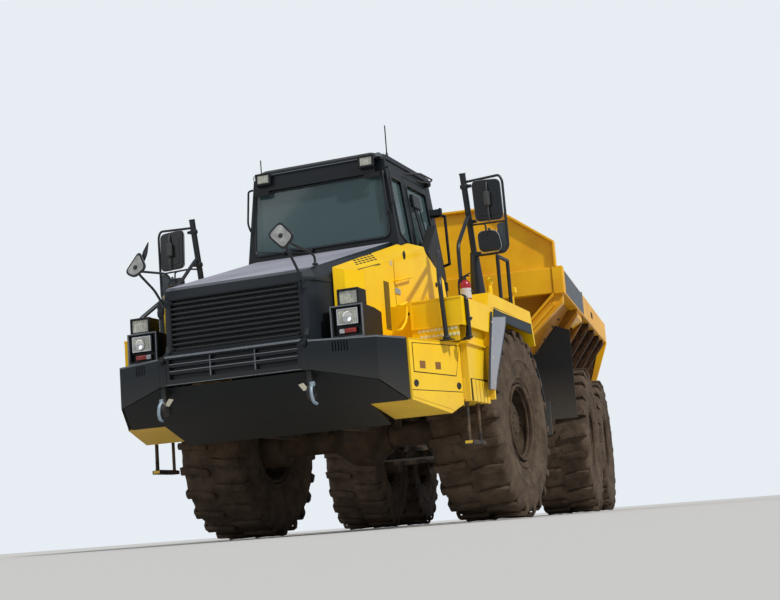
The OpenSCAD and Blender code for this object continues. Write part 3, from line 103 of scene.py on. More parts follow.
class Finish:
    """One material, with its Principled shader and the nodes that feed it."""

    def __init__(self, name, colour, roughness, metallic=0.0, **sockets):
        self.material = bpy.data.materials.new(name)
        self.material.use_nodes = True
        self.tree = self.material.node_tree
        self.shader = self.tree.nodes["Principled BSDF"]
        self.shader.inputs["Base Color"].default_value = (*colour, 1.0)
        self.shader.inputs["Roughness"].default_value = roughness
        self.shader.inputs["Metallic"].default_value = metallic
        for socket, value in sockets.items():
            self.shader.inputs[socket.replace("_", " ")].default_value = value
        self.place = self.node("ShaderNodeTexCoord").outputs["Object"]
        split = self.node("ShaderNodeSeparateXYZ", Vector=self.place)
        self.x, self.y, self.z = (Value(self.tree, split.outputs[k]) for k in range(3))

    def node(self, kind, settings=None, **inputs):
        """A node of a type, its settings first, then the values or links of its sockets, which
        are named, or numbered as i0, i1 and so on."""
        made = self.tree.nodes.new(kind)
        for key, value in (settings or {}).items():
            setattr(made, key, value)
        for key, value in inputs.items():
            socket = made.inputs[int(key[1:]) if key[1:].isdigit() else key]
            if isinstance(value, Value):
                value = value.socket
            if isinstance(value, bpy.types.NodeSocket):
                self.tree.links.new(value, socket)
            else:
                socket.default_value = value
        return made

    def noise(self, scale, detail=3.0, roughness=0.55, stretch=None):
        where = self.place
        if stretch:
            where = self.node("ShaderNodeMapping", Vector=self.place, Scale=stretch).outputs[0]
        made = self.node("ShaderNodeTexNoise", Vector=where, Scale=scale, Detail=detail, Roughness=roughness)
        return Value(self.tree, made.outputs["Fac"])

    def facing_up(self):
        """1 on faces that look up, 0 on upright and hanging ones."""
        normal = self.node("ShaderNodeNewGeometry").outputs["Normal"]
        split = self.node("ShaderNodeSeparateXYZ", Vector=normal)
        return Value(self.tree, split.outputs[2])

    def mix(self, first, second, amount):
        """A colour between two colours."""
        sides = [(*c, 1.0) if isinstance(c, tuple) and len(c) == 3 else c for c in (first, second)]
        made = self.node("ShaderNodeMix", {"data_type": "RGBA"}, i0=amount, i6=sides[0], i7=sides[1])
        return made.outputs[2]

    def colour(self, link):
        self.tree.links.new(link, self.shader.inputs["Base Color"])

    def drive(self, socket, value):
        self.tree.links.new(value.socket, self.shader.inputs[socket])

    def bump(self, height, strength, distance):
        made = self.node("ShaderNodeBump", Height=height, Strength=strength, Distance=distance)
        self.tree.links.new(made.outputs[0], self.shader.inputs["Normal"])


DUST = (0.34, 0.27, 0.18)
MUD = (0.075, 0.05, 0.03)


def dusted(finish, base, dust_low, dust_high, most, top=0.25, tint=None):
    """Paint with a faint change of shade, and dust that thickens from one height down to another."""
    patches = finish.noise(2.3, 4.0)
    shade = finish.mix(base, tint or tuple(c * 0.86 for c in base), patches.ramped(0.35, 0.7))
    fine = finish.noise(38.0, 5.0, 0.6)
    height = finish.z.ramped(dust_high, dust_low)
    lying = finish.facing_up().ramped(0.55, 0.95) * top
    dust = ((height * most) + lying) * (patches * 0.9 + 0.45) * (fine * 0.8 + 0.55)
    dust = dust.clamped()
    finish.colour(finish.mix(shade, DUST, dust))
    return dust


def yellow_paint():
    finish = Finish("yellow_paint", (0.95, 0.6, 0.004), 0.34, Specular_IOR_Level=0.22, Coat_Weight=0.04,
        Coat_Roughness=0.12)
    dust = dusted(finish, (0.95, 0.61, 0.004), 0.8, 1.7, 0.35, 0.06, (0.9, 0.52, 0.004))
    finish.drive("Roughness", dust * 0.5 + 0.3)
    finish.bump(finish.noise(1.6, 2.0), 0.1, 0.01)
    return finish.material


def body_yellow():
    """The tipping body's paint, scuffed by its loads."""
    finish = Finish("body_paint", (0.92, 0.47, 0.006), 0.4, Specular_IOR_Level=0.3)
    dust = dusted(finish, (0.92, 0.47, 0.006), 1.2, 2.4, 0.3, 0.3, (0.78, 0.35, 0.005))
    scuffs = finish.noise(7.0, 6.0, 0.7, (1.0, 0.35, 2.5)).ramped(0.6, 0.72)
    dust = (dust + scuffs * 0.1).clamped()
    finish.drive("Roughness", dust * 0.45 + 0.34)
    finish.bump(finish.noise(1.1, 2.0) + finish.noise(60.0, 2.0) * 0.05, 0.15, 0.012)
    return finish.material


def dark_paint(name, base, roughness, low, high, most, top, shine=0.3):
    finish = Finish(name, base, roughness, Specular_IOR_Level=shine)
    dust = dusted(finish, base, low, high, most, top)
    finish.drive("Roughness", dust * 0.45 + roughness)
    finish.bump(finish.noise(90.0, 2.0), 0.05, 0.002)
    return finish.material


def muddy(name, base, share, lump, mud=MUD, dry=(0.15, 0.1, 0.062)):
    """Castings, rims and tyres caked with drying mud."""
    finish = Finish(name, base, 0.8, Specular_IOR_Level=0.25)
    lumps = finish.noise(9.0, 6.0, 0.65)
    grain = finish.noise(70.0, 5.0, 0.6)
    cover = (lumps * 0.75 + grain * 0.35).ramped(0.62 - share * 0.35, 0.75 - share * 0.3)
    wet = finish.mix(mud, dry, finish.noise(5.0, 4.0).ramped(0.35, 0.65))
    finish.colour(finish.mix(base, wet, cover))
    finish.drive("Roughness", cover * 0.35 + 0.55)
    finish.bump(lumps * lump + grain * 0.25, 0.8, 0.02)
    return finish.material


def plain(name, base, roughness, metallic=0.0, grain=60.0, depth=0.05, shade=0.8, **sockets):
    """A smooth finish with a fine grain and a slight change of shade."""
    finish = Finish(name, base, roughness, metallic, **sockets)
    spots = finish.noise(grain, 4.0)
    finish.colour(finish.mix(base, tuple(c * shade for c in base), spots.ramped(0.3, 0.75)))
    finish.drive("Roughness", spots * 0.18 + (roughness - 0.08))
    finish.bump(spots, depth, 0.003)
    return finish.material


def tinted_glass():
    finish = Finish("tinted_glass", (0.075, 0.125, 0.13), 0.06, Coat_Weight=0.3, IOR=1.45)
    haze = finish.noise(2.0, 4.0)
    finish.drive("Alpha", haze.ramped(0.2, 0.9) * 0.12 + 0.58)
    finish.drive("Roughness", haze * 0.05 + 0.03)
    finish.material.surface_render_method = "BLENDED"
    return finish.material


FINISHES = {
    "body_yellow": yellow_paint(),
    "frame_black": muddy("frame_paint", (0.02, 0.022, 0.024), 0.4, 0.8),
    "trim_black": dark_paint("trim_paint", (0.0085, 0.012, 0.015), 0.42, 0.9, 1.5, 0.14, 0.16),
    "cab_black": dark_paint("cab_paint", (0.0065, 0.0095, 0.012), 0.4, 1.0, 1.8, 0.15, 0.12),
    "cylinder_black": muddy("cylinder_paint", (0.025, 0.025, 0.027), 0.4, 0.6),
    "rod_chrome": plain("chromed_rod", (0.72, 0.73, 0.74), 0.16, 1.0, 120.0, 0.02, 0.92),
    "cast_grey": muddy("axle_casting", (0.06, 0.055, 0.05), 0.75, 1.1),
    "tyre_rubber": muddy("tyre_mud", (0.022, 0.018, 0.015), 0.8, 1.4, (0.058, 0.038, 0.024),
                         (0.11, 0.076, 0.05)),
    "rim_muddy": muddy("rim_mud", (0.035, 0.025, 0.016), 0.9, 0.9, (0.05, 0.033, 0.02),
                       (0.1, 0.068, 0.042)),
    "glass_green": tinted_glass(),
    "seat_fabric": plain("seat_cloth", (0.035, 0.036, 0.04), 0.9, 0.0, 400.0, 0.4, 0.6),
    "dash_plastic": plain("dash_plastic", (0.03, 0.032, 0.034), 0.6, 0.0, 300.0, 0.2),
    "lamp_black": plain("lamp_housing", (0.0075, 0.009, 0.0105), 0.45, 0.0, 200.0, 0.1,
                        Specular_IOR_Level=0.3),
    "rail_black": plain("rail_paint", (0.008, 0.012, 0.016), 0.36, 0.0, 90.0),
    "guard_grey": dark_paint("guard_rubber", (0.034, 0.045, 0.055), 0.7, 0.9, 1.6, 0.25, 0.1),
    "flap_rubber": dark_paint("flap_rubber", (0.01, 0.011, 0.012), 0.6, 0.9, 1.8, 0.25, 0.1),
    "extinguisher_red": plain("extinguisher_paint", (0.36, 0.01, 0.02), 0.25, 0.0, 40.0, 0.03, 0.9),
}
GUARD = dark_paint("guard_plate", (0.0075, 0.0095, 0.011), 0.5, 0.8, 1.3, 0.1, 0.05, 0.25)


def hood_paint():
    """Black paint whose upper faces carry a patchy pale painted sheen."""
    finish = Finish("hood_paint", (0.01, 0.014, 0.018), 0.38, Specular_IOR_Level=0.35)
    sheen_patches = finish.noise(1.4, 4.0)
    # Painted sheen: faces that look up are painted pale grey-lilac, as the light they catch.
    painted_sheen = finish.facing_up().ramped(0.9, 0.955) * (sheen_patches * 0.7 + 0.3)
    finish.colour(finish.mix((0.01, 0.014, 0.018), (0.44, 0.44, 0.5), painted_sheen.clamped()))
    finish.drive("Roughness", painted_sheen * 0.25 + 0.36)
    finish.bump(finish.noise(90.0, 2.0), 0.05, 0.002)
    return finish.material


HOOD = hood_paint()

# Every node takes its slot's finish, and three nodes take a finish of their own
for part in frame["record"]["subparts"]:
    mesh = NODES[part["node"]].data
    mesh.materials.clear()
    mesh.materials.append(FINISHES[part["material_slot"]])
NODES["dump_body"].data.materials[0] = body_yellow()
NODES["belly_guard"].data.materials[0] = GUARD
NODES["hood_top"].data.materials[0] = HOOD

# Modelling helpers

def clear():
    bpy.ops.object.select_all(action="DESELECT")


def choose(made):
    """Makes one object the only selected and the active one."""
    clear()
    made.select_set(True)
    bpy.context.view_layer.objects.active = made


def edit(made, work):
    """Runs work in edit mode with all of the piece selected."""
    choose(made)
    bpy.ops.object.mode_set(mode="EDIT")
    bpy.ops.mesh.select_all(action="SELECT")
    work()
    bpy.ops.object.mode_set(mode="OBJECT")
    return made


def rounded(made, width, segments=2):
    """Bevels every sharp edge of a piece."""
    if width > 0:
        bevel = made.modifiers.new("round", "BEVEL")
        bevel.width = width
        bevel.segments = segments
        bevel.angle_limit = math.radians(35.0)
        choose(made)
        bpy.ops.object.modifier_apply(modifier="round")
    return made


def settled(made):
    """Puts a piece's place into its mesh."""
    choose(made)
    bpy.ops.object.transform_apply(location=True, rotation=True, scale=True)
    return made


def block(low, high, bevel=0.004):
    clear()
    low, high = Vector(low), Vector(high)
    bpy.ops.mesh.primitive_cube_add(size=1.0, location=(low + high) / 2)
    made = bpy.context.object
    made.scale = high - low
    return rounded(settled(made), bevel)


def rod(p, q, radius, sides=20, bevel=0.0, tip=None):
    """A round bar from p to q; tip is its radius at q."""
    clear()
    p, q = Vector(p), Vector(q)
    bpy.ops.mesh.primitive_cone_add(vertices=sides, radius1=radius, radius2=radius if tip is None else tip,
        depth=(q - p).length, location=(p + q) / 2, rotation=(q - p).to_track_quat("Z", "Y").to_euler())
    return smooth(rounded(settled(bpy.context.object), bevel))


def upright(x, y, low, high, *form):
    """A rod that stands between two heights."""
    return rod((x, y, low), (x, y, high), *form)


def smooth(made, angle=32.0):
    choose(made)
    bpy.ops.object.shade_smooth_by_angle(angle=math.radians(angle))
    return made


ARC_STEPS = 5


def arc(before, here, after, radius):
    """The round corner that takes the place of a path's sharp one."""
    a, b = before - here, after - here
    reach = min(radius, a.length * 0.45, b.length * 0.45)
    start, end = here + a.normalized() * reach, here + b.normalized() * reach
    steps = [step / ARC_STEPS for step in range(ARC_STEPS + 1)]
    return [start * (1 - t) ** 2 + here * 2 * t * (1 - t) + end * t ** 2 for t in steps]


def bent(points, radius):
    """Corners of a path turned into short arcs."""
    points = [Vector(p) for p in points]
    path = [points[0]]
    for before, here, after in zip(points, points[1:], points[2:]):
        path += arc(before, here, after, radius)
    return [*path, points[-1]]


def soft(corners, radius):
    """A closed outline with its corners rounded off."""
    points = [Vector(p) for p in corners]
    path = []
    for before, here, after in zip([points[-1], *points], points, [*points[1:], points[0]]):
        path += arc(before, here, after, radius)
    return path


def pipe(points, radius, corner=0.06, sides=3):
    """A tube of even thickness along a path with round corners."""
    clear()
    bpy.ops.curve.primitive_nurbs_path_add()
    made = bpy.context.object
    data = made.data
    made.location = (0.0, 0.0, 0.0)
    path = bent(points, corner)
    data.splines.clear()
    spline = data.splines.new("POLY")
    spline.points.add(len(path) - 1)
    for point, place in zip(spline.points, path):
        point.co = (*place, 1.0)
    data.bevel_depth = radius
    data.bevel_resolution = sides
    data.use_fill_caps = True
    data.dimensions = "3D"
    bpy.ops.object.convert(target="MESH")
    return smooth(settled(bpy.context.object), 60.0)


def on_x(x, *points):
    """(y, z) points on an upright plane along the truck."""
    return [(x, y, z) for y, z in points]


def on_y(y, *points):
    """(x, z) points on an upright plane across the truck."""
    return [(x, y, z) for x, z in points]


BOTH_SIDES = (1.0, -1.0)


def across(side, points):
    """Points given for the truck's left side, on either side."""
    return [(side * x, y, z) for x, y, z in points]


def moved(outline, y):
    """An outline of vectors, moved along the truck."""
    return [p + Vector((0, y, 0)) for p in outline]


def plate(outline, drawn, bevel=0.0):
    """A flat plate: an outline of points, drawn out along a vector."""
    clear()
    bpy.ops.mesh.primitive_circle_add(vertices=len(outline), fill_type="NGON")
    made = bpy.context.object
    for vertex, place in zip(made.data.vertices, outline):
        vertex.co = place

    def draw():
        bpy.ops.mesh.extrude_region_move(TRANSFORM_OT_translate={"value": Vector(drawn)})
        bpy.ops.mesh.select_all(action="SELECT")
        bpy.ops.mesh.normals_make_consistent(inside=False)
    return rounded(edit(settled(made), draw), bevel)


def turned_form(profile, centre, axis, steps=32):
    """A profile of (radius, height) pairs spun about an axis through centre."""
    clear()
    bpy.ops.mesh.primitive_circle_add(vertices=len(profile), fill_type="NOTHING")
    made = bpy.context.object
    for vertex, (radius, height) in zip(made.data.vertices, profile):
        vertex.co = (radius, 0.0, height)

    def spin():
        bpy.ops.mesh.spin(steps=steps, angle=math.tau, center=(0, 0, 0), axis=(0, 0, 1))
        bpy.ops.mesh.select_all(action="SELECT")
        bpy.ops.mesh.remove_doubles(threshold=0.0002)
        bpy.ops.mesh.normals_make_consistent(inside=False)
    edit(made, spin)
    made.rotation_euler = Vector(axis).to_track_quat("Z", "Y").to_euler()
    made.location = centre
    return smooth(settled(made), 40.0)


def copied(made, move=None, mirror=False):
    """A copy with its own mesh, moved or mirrored to the truck's other side."""
    twin = made.copy()
    twin.data = made.data.copy()
    bpy.context.scene.collection.objects.link(twin)
    if mirror:
        twin.data.transform(Matrix.Scale(-1.0, 4, (1.0, 0.0, 0.0)))
        twin.data.flip_normals()
    if move is not None:
        twin.data.transform(Matrix.Translation(Vector(move)))
    return twin


def joined(items):
    clear()
    for item in items:
        item.select_set(True)
    bpy.context.view_layer.objects.active = items[0]
    bpy.ops.object.join()
    return bpy.context.object


def dress(name, body, slot, items, finish=None, mirror=False):
    """Joins items, drawn straight from under the front axle, into one named piece with one
    finish, puts it in place, and has it move with a body."""
    if mirror:
        items = items + [copied(item, mirror=True) for item in items]
    made = joined(items) if len(items) > 1 else items[0]
    made.name = name
    made.data.name = name
    made.data.transform(REAR_PLACE if body in REAR_BODIES else FRONT_PLACE)
    made.data.materials.clear()
    made.data.materials.append(finish or FINISHES[slot])
    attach(made, body)
    return made


def both(name, items, finish=None, slot="body_yellow"):
    """A piece of the front section, drawn for the left side and mirrored to the right."""
    return dress(name, "front", slot, items, finish, mirror=True)


# Wheels: tyres caked in mud, with lugs, and the rings and nuts of their rims

LUGS = 22


def tyre_form():
    """One tyre about its own centre, its outer side towards +X."""
    half = [(0.378, 0.3), (0.392, 0.314), (0.43, 0.328), (0.438, 0.338), (0.452, 0.339), (0.46, 0.331),
            (0.52, 0.35), (0.6, 0.363), (0.608, 0.37), (0.626, 0.371), (0.634, 0.366), (0.7, 0.37),
            (0.77, 0.364), (0.826, 0.35), (0.866, 0.328), (0.889, 0.29), (0.893, 0.15)]
    profile = half + [(r, -x) for r, x in reversed(half)]
    carcass = turned_form(profile, (0, 0, 0), (1, 0, 0), 96)
    lugs = []
    shape = [(0.012, -0.03), (0.19, -0.002), (0.334, 0.004), (0.334, 0.084), (0.185, 0.082), (0.012, 0.046)]
    for side in (-1, 1):
        lug = plate([(side * x, side * v, 0.88) for x, v in shape], (0, 0, 0.048), 0.01)
        wall = ((0.006, 0.8), (0.006, 0.925), (0.082, 0.925), (0.082, 0.8))
        shoulder = plate([(side * 0.325, side * y, z) for y, z in wall], (side * 0.038, 0, 0), 0.012)
        for vertex in shoulder.data.vertices:
            vertex.co.z -= 0.05 * max(0.0, (abs(vertex.co.x) - 0.335) / 0.028) * (vertex.co.z > 0.88)
        pair = joined([lug, shoulder])
        for step in range(LUGS):
            turn = math.tau * (step + (0.5 if side > 0 else 0.0)) / LUGS
            twin = copied(pair)
            twin.data.transform(Matrix.Rotation(turn, 4, "X"))
            lugs.append(twin)
        bpy.data.objects.remove(pair)
    tread = joined(lugs)
    clods = smooth(joined([carcass, tread]), 50.0)
    lumps = bpy.data.textures.new("mud_lumps", "CLOUDS")
    lumps.noise_scale = 0.055
    lumps.noise_depth = 3
    cut = clods.modifiers.new("finer", "SUBSURF")
    cut.subdivision_type = "SIMPLE"
    cut.levels = cut.render_levels = 1
    push = clods.modifiers.new("mud", "DISPLACE")
    push.texture = lumps
    push.texture_coords = "LOCAL"
    push.strength = 0.022
    push.mid_level = 0.75
    choose(clods)
    for name in ("finer", "mud"):
        bpy.ops.object.modifier_apply(modifier=name)
    return clods


def rim_trim_form():
    """Flange ring, lock ring and wheel nuts of one rim, its outer side towards +X."""
    rings = [([(0.352, 0.3), (0.352, 0.322), (0.362, 0.33), (0.374, 0.326), (0.377, 0.312), (0.366, 0.3)],
            64),
        ([(0.33, 0.27), (0.33, 0.286), (0.344, 0.292), (0.352, 0.284), (0.352, 0.27)], 64),
        ([(0.0, 0.252), (0.0, 0.268), (0.09, 0.268), (0.12, 0.262), (0.15, 0.252)], 40)]
    items = [turned_form(profile, (0, 0, 0), (1, 0, 0), steps) for profile, steps in rings]
    for count, radius, reach, size in ((20, 0.2, 0.232, 0.017), (12, 0.105, 0.276, 0.011)):
        nut = rod((reach - 0.026, 0, radius), (reach, 0, radius), size, 6, 0.003)
        for step in range(count):
            twin = copied(nut)
            twin.data.transform(Matrix.Rotation(math.tau * step / count, 4, "X"))
            items.append(twin)
        bpy.data.objects.remove(nut)
    return joined(items)


tyre = tyre_form()
trim = rim_trim_form()
for row, along in AXLE_Y.items():
    for side, word in ((1, "left"), (-1, "right")):
        body = "wheel_%s_%s" % (row, word)
        for made, kind, slot in ((tyre, "muddy_tyre", "tyre_rubber"), (trim, "rim_trim", "rim_muddy")):
            twin = copied(made, mirror=side < 0)
            twin.data.transform(Matrix.Translation((side * HALF_TRACK, along, WHEEL_Z)))
            dress("%s_%s_%s" % (kind, row, word), body, slot, [twin])
            if kind == "muddy_tyre":
                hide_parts("tyre_%s_%s" % (row, word))
for made in (tyre, trim):
    bpy.data.objects.remove(made)

# Nose: grille and its surround, lower grille, bolts, bumper edges, hooks, tags and horns

# Pale grey for edges: partly bare worn metal, partly painted highlight where the edges catch the light.
WORN_AND_HIGHLIT = plain("worn_highlit_edges", (0.2, 0.22, 0.24), 0.4, 0.3, 140.0, 0.2, 0.45)
# Thin strips along the grille slats' top edges, lighter than the grille: painted highlight.
SLAT_HIGHLIGHT = plain("slat_edge_highlights", (0.05, 0.05, 0.046), 0.5, 0.0, 60.0, 0.05, 0.6)
SILVER = plain("silver_backs", (0.62, 0.63, 0.64), 0.28, 0.6, 30.0, 0.03)
# Pale bluish steel for the towing hooks: partly the steel's colour, partly a painted highlight.
PALE_STEEL_HIGHLIT = plain("pale_steel_highlit", (0.3, 0.38, 0.44), 0.45, 0.3, 50.0, 0.1, 0.7)
TAG = plain("bare_tags", (0.55, 0.5, 0.38), 0.7, 0.0, 50.0)
# Black sheets in vents, slots, recesses, creases and between fins are painted shade; on seams and door gaps
# they are dark joints.
OPENING_SHADE_AND_SEAMS = plain("opening_shade_and_seams", (0.006, 0.006, 0.006), 0.8, 0.0, 60.0, 0.05, 0.7)
REFLECT = plain("grey_reflector", (0.36, 0.4, 0.42), 0.3, 0.2, 160.0, 0.3)

SLATS, GRILLE_LOW, GRILLE_HIGH = 10, 1.64, 2.126
# Painted highlight along each slat's top edge.
edges = []
pitch = (GRILLE_HIGH - GRILLE_LOW - 0.04) / SLATS
for step in range(SLATS):
    z = GRILLE_LOW + 0.0385 + pitch * step
    edges.append(block((-0.634, -2.7345, z - 0.0028), (0.634, -2.7285, z + 0.0028), 0.001))
dress("slat_edge_highlights", "hood", "trim_black", edges, SLAT_HIGHLIGHT)

frame_bars = [block((-0.641, -2.742, 2.11), (0.641, -2.726, 2.126), 0.003),
              block((0.62, -2.741, 1.642), (0.641, -2.728, 2.112), 0.003),
              block((-0.641, -2.741, 1.642), (-0.62, -2.728, 2.112), 0.003)]
for x in (-0.606, 0.606):
    for z in (1.68, 2.085):
        frame_bars.append(rod((x, -2.726, z), (x, -2.746, z), 0.013, 6, 0.003))
dress("grille_surround", "hood", "trim_black", frame_bars)

lip = [plate(on_x(-0.645, (-2.842, 1.59), (-2.842, 1.606), (-2.8, 1.622), (-2.78, 1.616)),
             (1.29, 0, 0), 0.003)]
dress("lower_grille_lip", "front", "trim_black", lip, WORN_AND_HIGHLIT)
bright = []
low, high = 1.385, 1.625
step_z = (high - low - 0.06) / 3
for step in (1, 2):
    z = low + 0.02 + step_z * step + 0.012
    bright.append(block((-0.64, -2.824, z - 0.004), (0.64, -2.816, z + 0.004), 0.0015))
for x in (-0.214, 0.214):
    bright.append(block((x - 0.004, -2.822, low + 0.015), (x + 0.004, -2.812, high - 0.04), 0.0015))
bright.append(block((-0.644, -2.828, 1.358), (0.644, -2.82, 1.364), 0.0015))
dress("lower_grille_edges", "front", "trim_black", bright, WORN_AND_HIGHLIT)

bolts = [rod((0.679, -2.826, 1.565), (0.679, -2.85, 1.565), 0.024, 24, 0.004),
         rod((0.679, -2.85, 1.565), (0.679, -2.86, 1.565), 0.014, 6, 0.002)]
both("wing_bolts", bolts, slot="trim_black")

# A pale strip along the bumper's top edge: painted highlight, with wear.
edge_highlight = [plate([(1.245, -2.612, 1.592), (1.38, -2.292, 1.592), (1.372, -2.289, 1.6), (1.24, -2.603, 1.6)],
              (0, 0, -0.01), 0.002),
        plate([(0.716, -2.832, 1.592), (1.245, -2.612, 1.592), (1.24, -2.6, 1.6), (0.716, -2.82, 1.6)],
              (0, 0, -0.01), 0.002)]
both("bumper_top_edge", edge_highlight, WORN_AND_HIGHLIT, "trim_black")

hook = [pipe([(0.715, -2.79, 1.235), (0.722, -2.838, 1.19), (0.728, -2.842, 1.12), (0.732, -2.815, 1.075),
              (0.735, -2.77, 1.068)], 0.014, 0.05, 4),
        rod((0.7, -2.79, 1.232), (0.735, -2.79, 1.232), 0.022, 16, 0.003)]
both("towing_hooks", hook, PALE_STEEL_HIGHLIT, "trim_black")
tag = [plate([(0.596, -2.808, 1.236), (0.64, -2.806, 1.248), (0.686, -2.806, 1.19), (0.64, -2.808, 1.18)],
             (0, 0.004, 0), 0.001),
       pipe([(0.684, -2.806, 1.2), (0.7, -2.8, 1.225), (0.712, -2.79, 1.235)], 0.003, 0.01, 2)]
both("hook_tags", tag, TAG, "trim_black")
horn = [turned_form([(0.0, 0.0), (0.055, 0.0), (0.062, 0.01), (0.05, 0.026), (0.02, 0.04), (0.0, 0.04)],
                    (-0.795, -2.585, z), (-0.6, -0.8, 0.1), 28) for z in (2.105, 2.045)]
dress("horn_discs", "hood", "trim_black", horn)

# Headlamps, work lamps and marker lamps

GLASS = plain("lamp_glass", (0.62, 0.62, 0.52), 0.1, 0.0, 25.0, 0.3, 0.45, Coat_Weight=0.8,
    Coat_Roughness=0.04)
CHROME = plain("lamp_chrome", (0.78, 0.78, 0.76), 0.12, 1.0, 40.0, 0.1, 0.85)
CLEAR = plain("clear_lens", (0.66, 0.68, 0.68), 0.1, 0.0, 40.0, 0.3, 0.7, Coat_Weight=0.7,
    Coat_Roughness=0.05)
RED = plain("red_lens", (0.42, 0.03, 0.014), 0.16, 0.0, 90.0, 0.6, 0.6, Coat_Weight=0.6, Coat_Roughness=0.05)


def ribbed_lens(low, high, count):
    """A lens over a lamp: a crowned pane with upright ribs. low and high give x and z."""
    items = [block(low, high, 0.006)]
    width = (high[0] - low[0]) / count
    for step in range(1, count):
        x = low[0] + width * step
        items.append(block((x - 0.0012, low[1] - 0.003, low[2] + 0.01),
            (x + 0.0012, low[1] + 0.002, high[2] - 0.01), 0.0))
    return items


lens = ribbed_lens((0.912, -2.622, 1.722), (1.087, -2.604, 1.843), 9)
both("headlamp_lenses", lens, GLASS, "lamp_black")
round_reflector = [turned_form([(0.0, 0.0), (0.03, 0.001), (0.04, 0.006), (0.047, 0.012), (0.043, 0.013),
        (0.028, 0.005), (0.0, 0.004)], (1.01, -2.624, 1.775), (0, -1, 0), 28)]
both("headlamp_reflectors", round_reflector, CHROME, "lamp_black")


def surround(low, high, y0, y1, width, bevel):
    """A square frame round an opening: low and high are its outer (x, z) corners."""
    (x0, z0), (x1, z1) = low, high
    return [block((x0, y0, z1 - width), (x1, y1, z1), bevel),
        block((x0, y0, z0), (x1, y1, z0 + width), bevel),
        block((x0, y0, z0 + width * 0.6), (x0 + width, y1, z1 - width * 0.6), bevel),
        block((x1 - width, y0, z0 + width * 0.6), (x1, y1, z1 - width * 0.6), bevel)]


both("headlamp_bezels", surround((0.904, 1.714), (1.095, 1.851), -2.626, -2.6, 0.011, 0.003),
      SILVER, "lamp_black")
both("work_lamp_frames", surround((0.914, 1.872), (1.114, 2.022), -2.618, -2.57, 0.02, 0.008),
    slot="lamp_black")
both("work_lamp_lenses", ribbed_lens((0.932, -2.606, 1.89), (1.096, -2.59, 2.004), 7), GLASS, "lamp_black")
both("marker_red_lenses", ribbed_lens((0.965, -2.616, 1.643), (1.068, -2.6, 1.683), 8), RED, "lamp_black")
both("marker_clear_lenses", ribbed_lens((0.916, -2.616, 1.643), (0.963, -2.6, 1.683), 4), CLEAR, "lamp_black")
both("lamp_housing_rims", surround((0.843, 1.6), (1.142, 1.882), -2.628, -2.612, 0.012, 0.003),
      WORN_AND_HIGHLIT, "lamp_black")
lamp_arm = [pipe([(0.98, -2.5, 1.87), (0.98, -2.46, 1.93), (0.99, -2.42, 1.96)], 0.012, 0.02),
            block((0.96, -2.44, 1.868), (1.06, -2.4, 1.885))]
both("work_lamp_brackets", lamp_arm, slot="lamp_black")

# Side panels: vent grids, louvre strip, latches, reflectors, handles, seams and bolts

def shoulder_z(x, y):
    """Height of the side panels' slanted top over a point."""
    return 3.304 - 0.436 * x + 0.2863 * y


def on_shoulder(points, lift=0.003, sink=0.004):
    """A thin sheet lying on the slanted top of a side panel, through (x, y) points."""
    return plate([(x, y, shoulder_z(x, y) - sink) for x, y in points], (0, 0, lift + sink))


def facet_slot(u, v, width=0.034, length=0.06):
    """A vent slot on the slanted facet: u runs along its rows and v down it."""
    a, b, c, d = (Vector((0.801, -1.482)), Vector((0.772, -1.9)), Vector((0.907, -2.127)),
        Vector((0.939, -1.672)))
    middle = (a * (1 - u) + b * u) * (1 - v) + (d * (1 - u) + c * u) * v
    along = Vector((b - a)).normalized() * length / 2
    down = (d - a).normalized() * width / 2
    corners = [middle + along + down * 0.6, middle - along * 0.8 + down, middle - along - down * 0.6,
        middle + along * 0.8 - down]
    return on_shoulder([(p.x, p.y) for p in corners], 0.0015)


# The vent slots are black sheets: painted shade in the openings.
slots = [facet_slot((column + 0.5) / 6, (row + 0.5) / 4) for row in range(4) for column in range(6)]
for step in range(9):
    y = -2.215 + 0.05 * step
    x = 0.968 + (y + 2.238) * 0.0764
    slots.append(on_shoulder([(x - 0.01, y - 0.016), (x + 0.006, y - 0.018), (x + 0.01, y + 0.014),
            (x - 0.006, y + 0.016)], 0.0015))
both("facet_vents", slots, OPENING_SHADE_AND_SEAMS)

# Black behind the louvre bars: painted shade.
strip = [block((0.994, -1.734, 1.764), (1.003, -1.606, 2.208), 0.003)]
both("vent_strips", strip, OPENING_SHADE_AND_SEAMS)
bars = []
for step in range(22):
    z = 1.776 + 0.0198 * step
    bars.append(plate([(1.001, -1.731, z), (1.001, -1.609, z), (1.007, -1.609, z - 0.004),
            (1.007, -1.731, z - 0.004)], (0, 0, 0.003)))
both("vent_strip_bars", bars)


def oval(centre, axis, width, height, thick):
    made = turned_form([(0.0, 0.0), (0.46, 0.0), (0.5, 0.2), (0.46, 0.8), (0.36, 1.0), (0.3, 0.7),
            (0.0, 0.7)], (0, 0, 0), (0, 0, 1))
    made.data.transform(Matrix.Diagonal((height, width, thick, 1.0)))
    made.data.transform(Vector(axis).to_track_quat("Z", "Y").to_matrix().to_4x4())
    made.data.transform(Matrix.Translation(Vector(centre)))
    return made


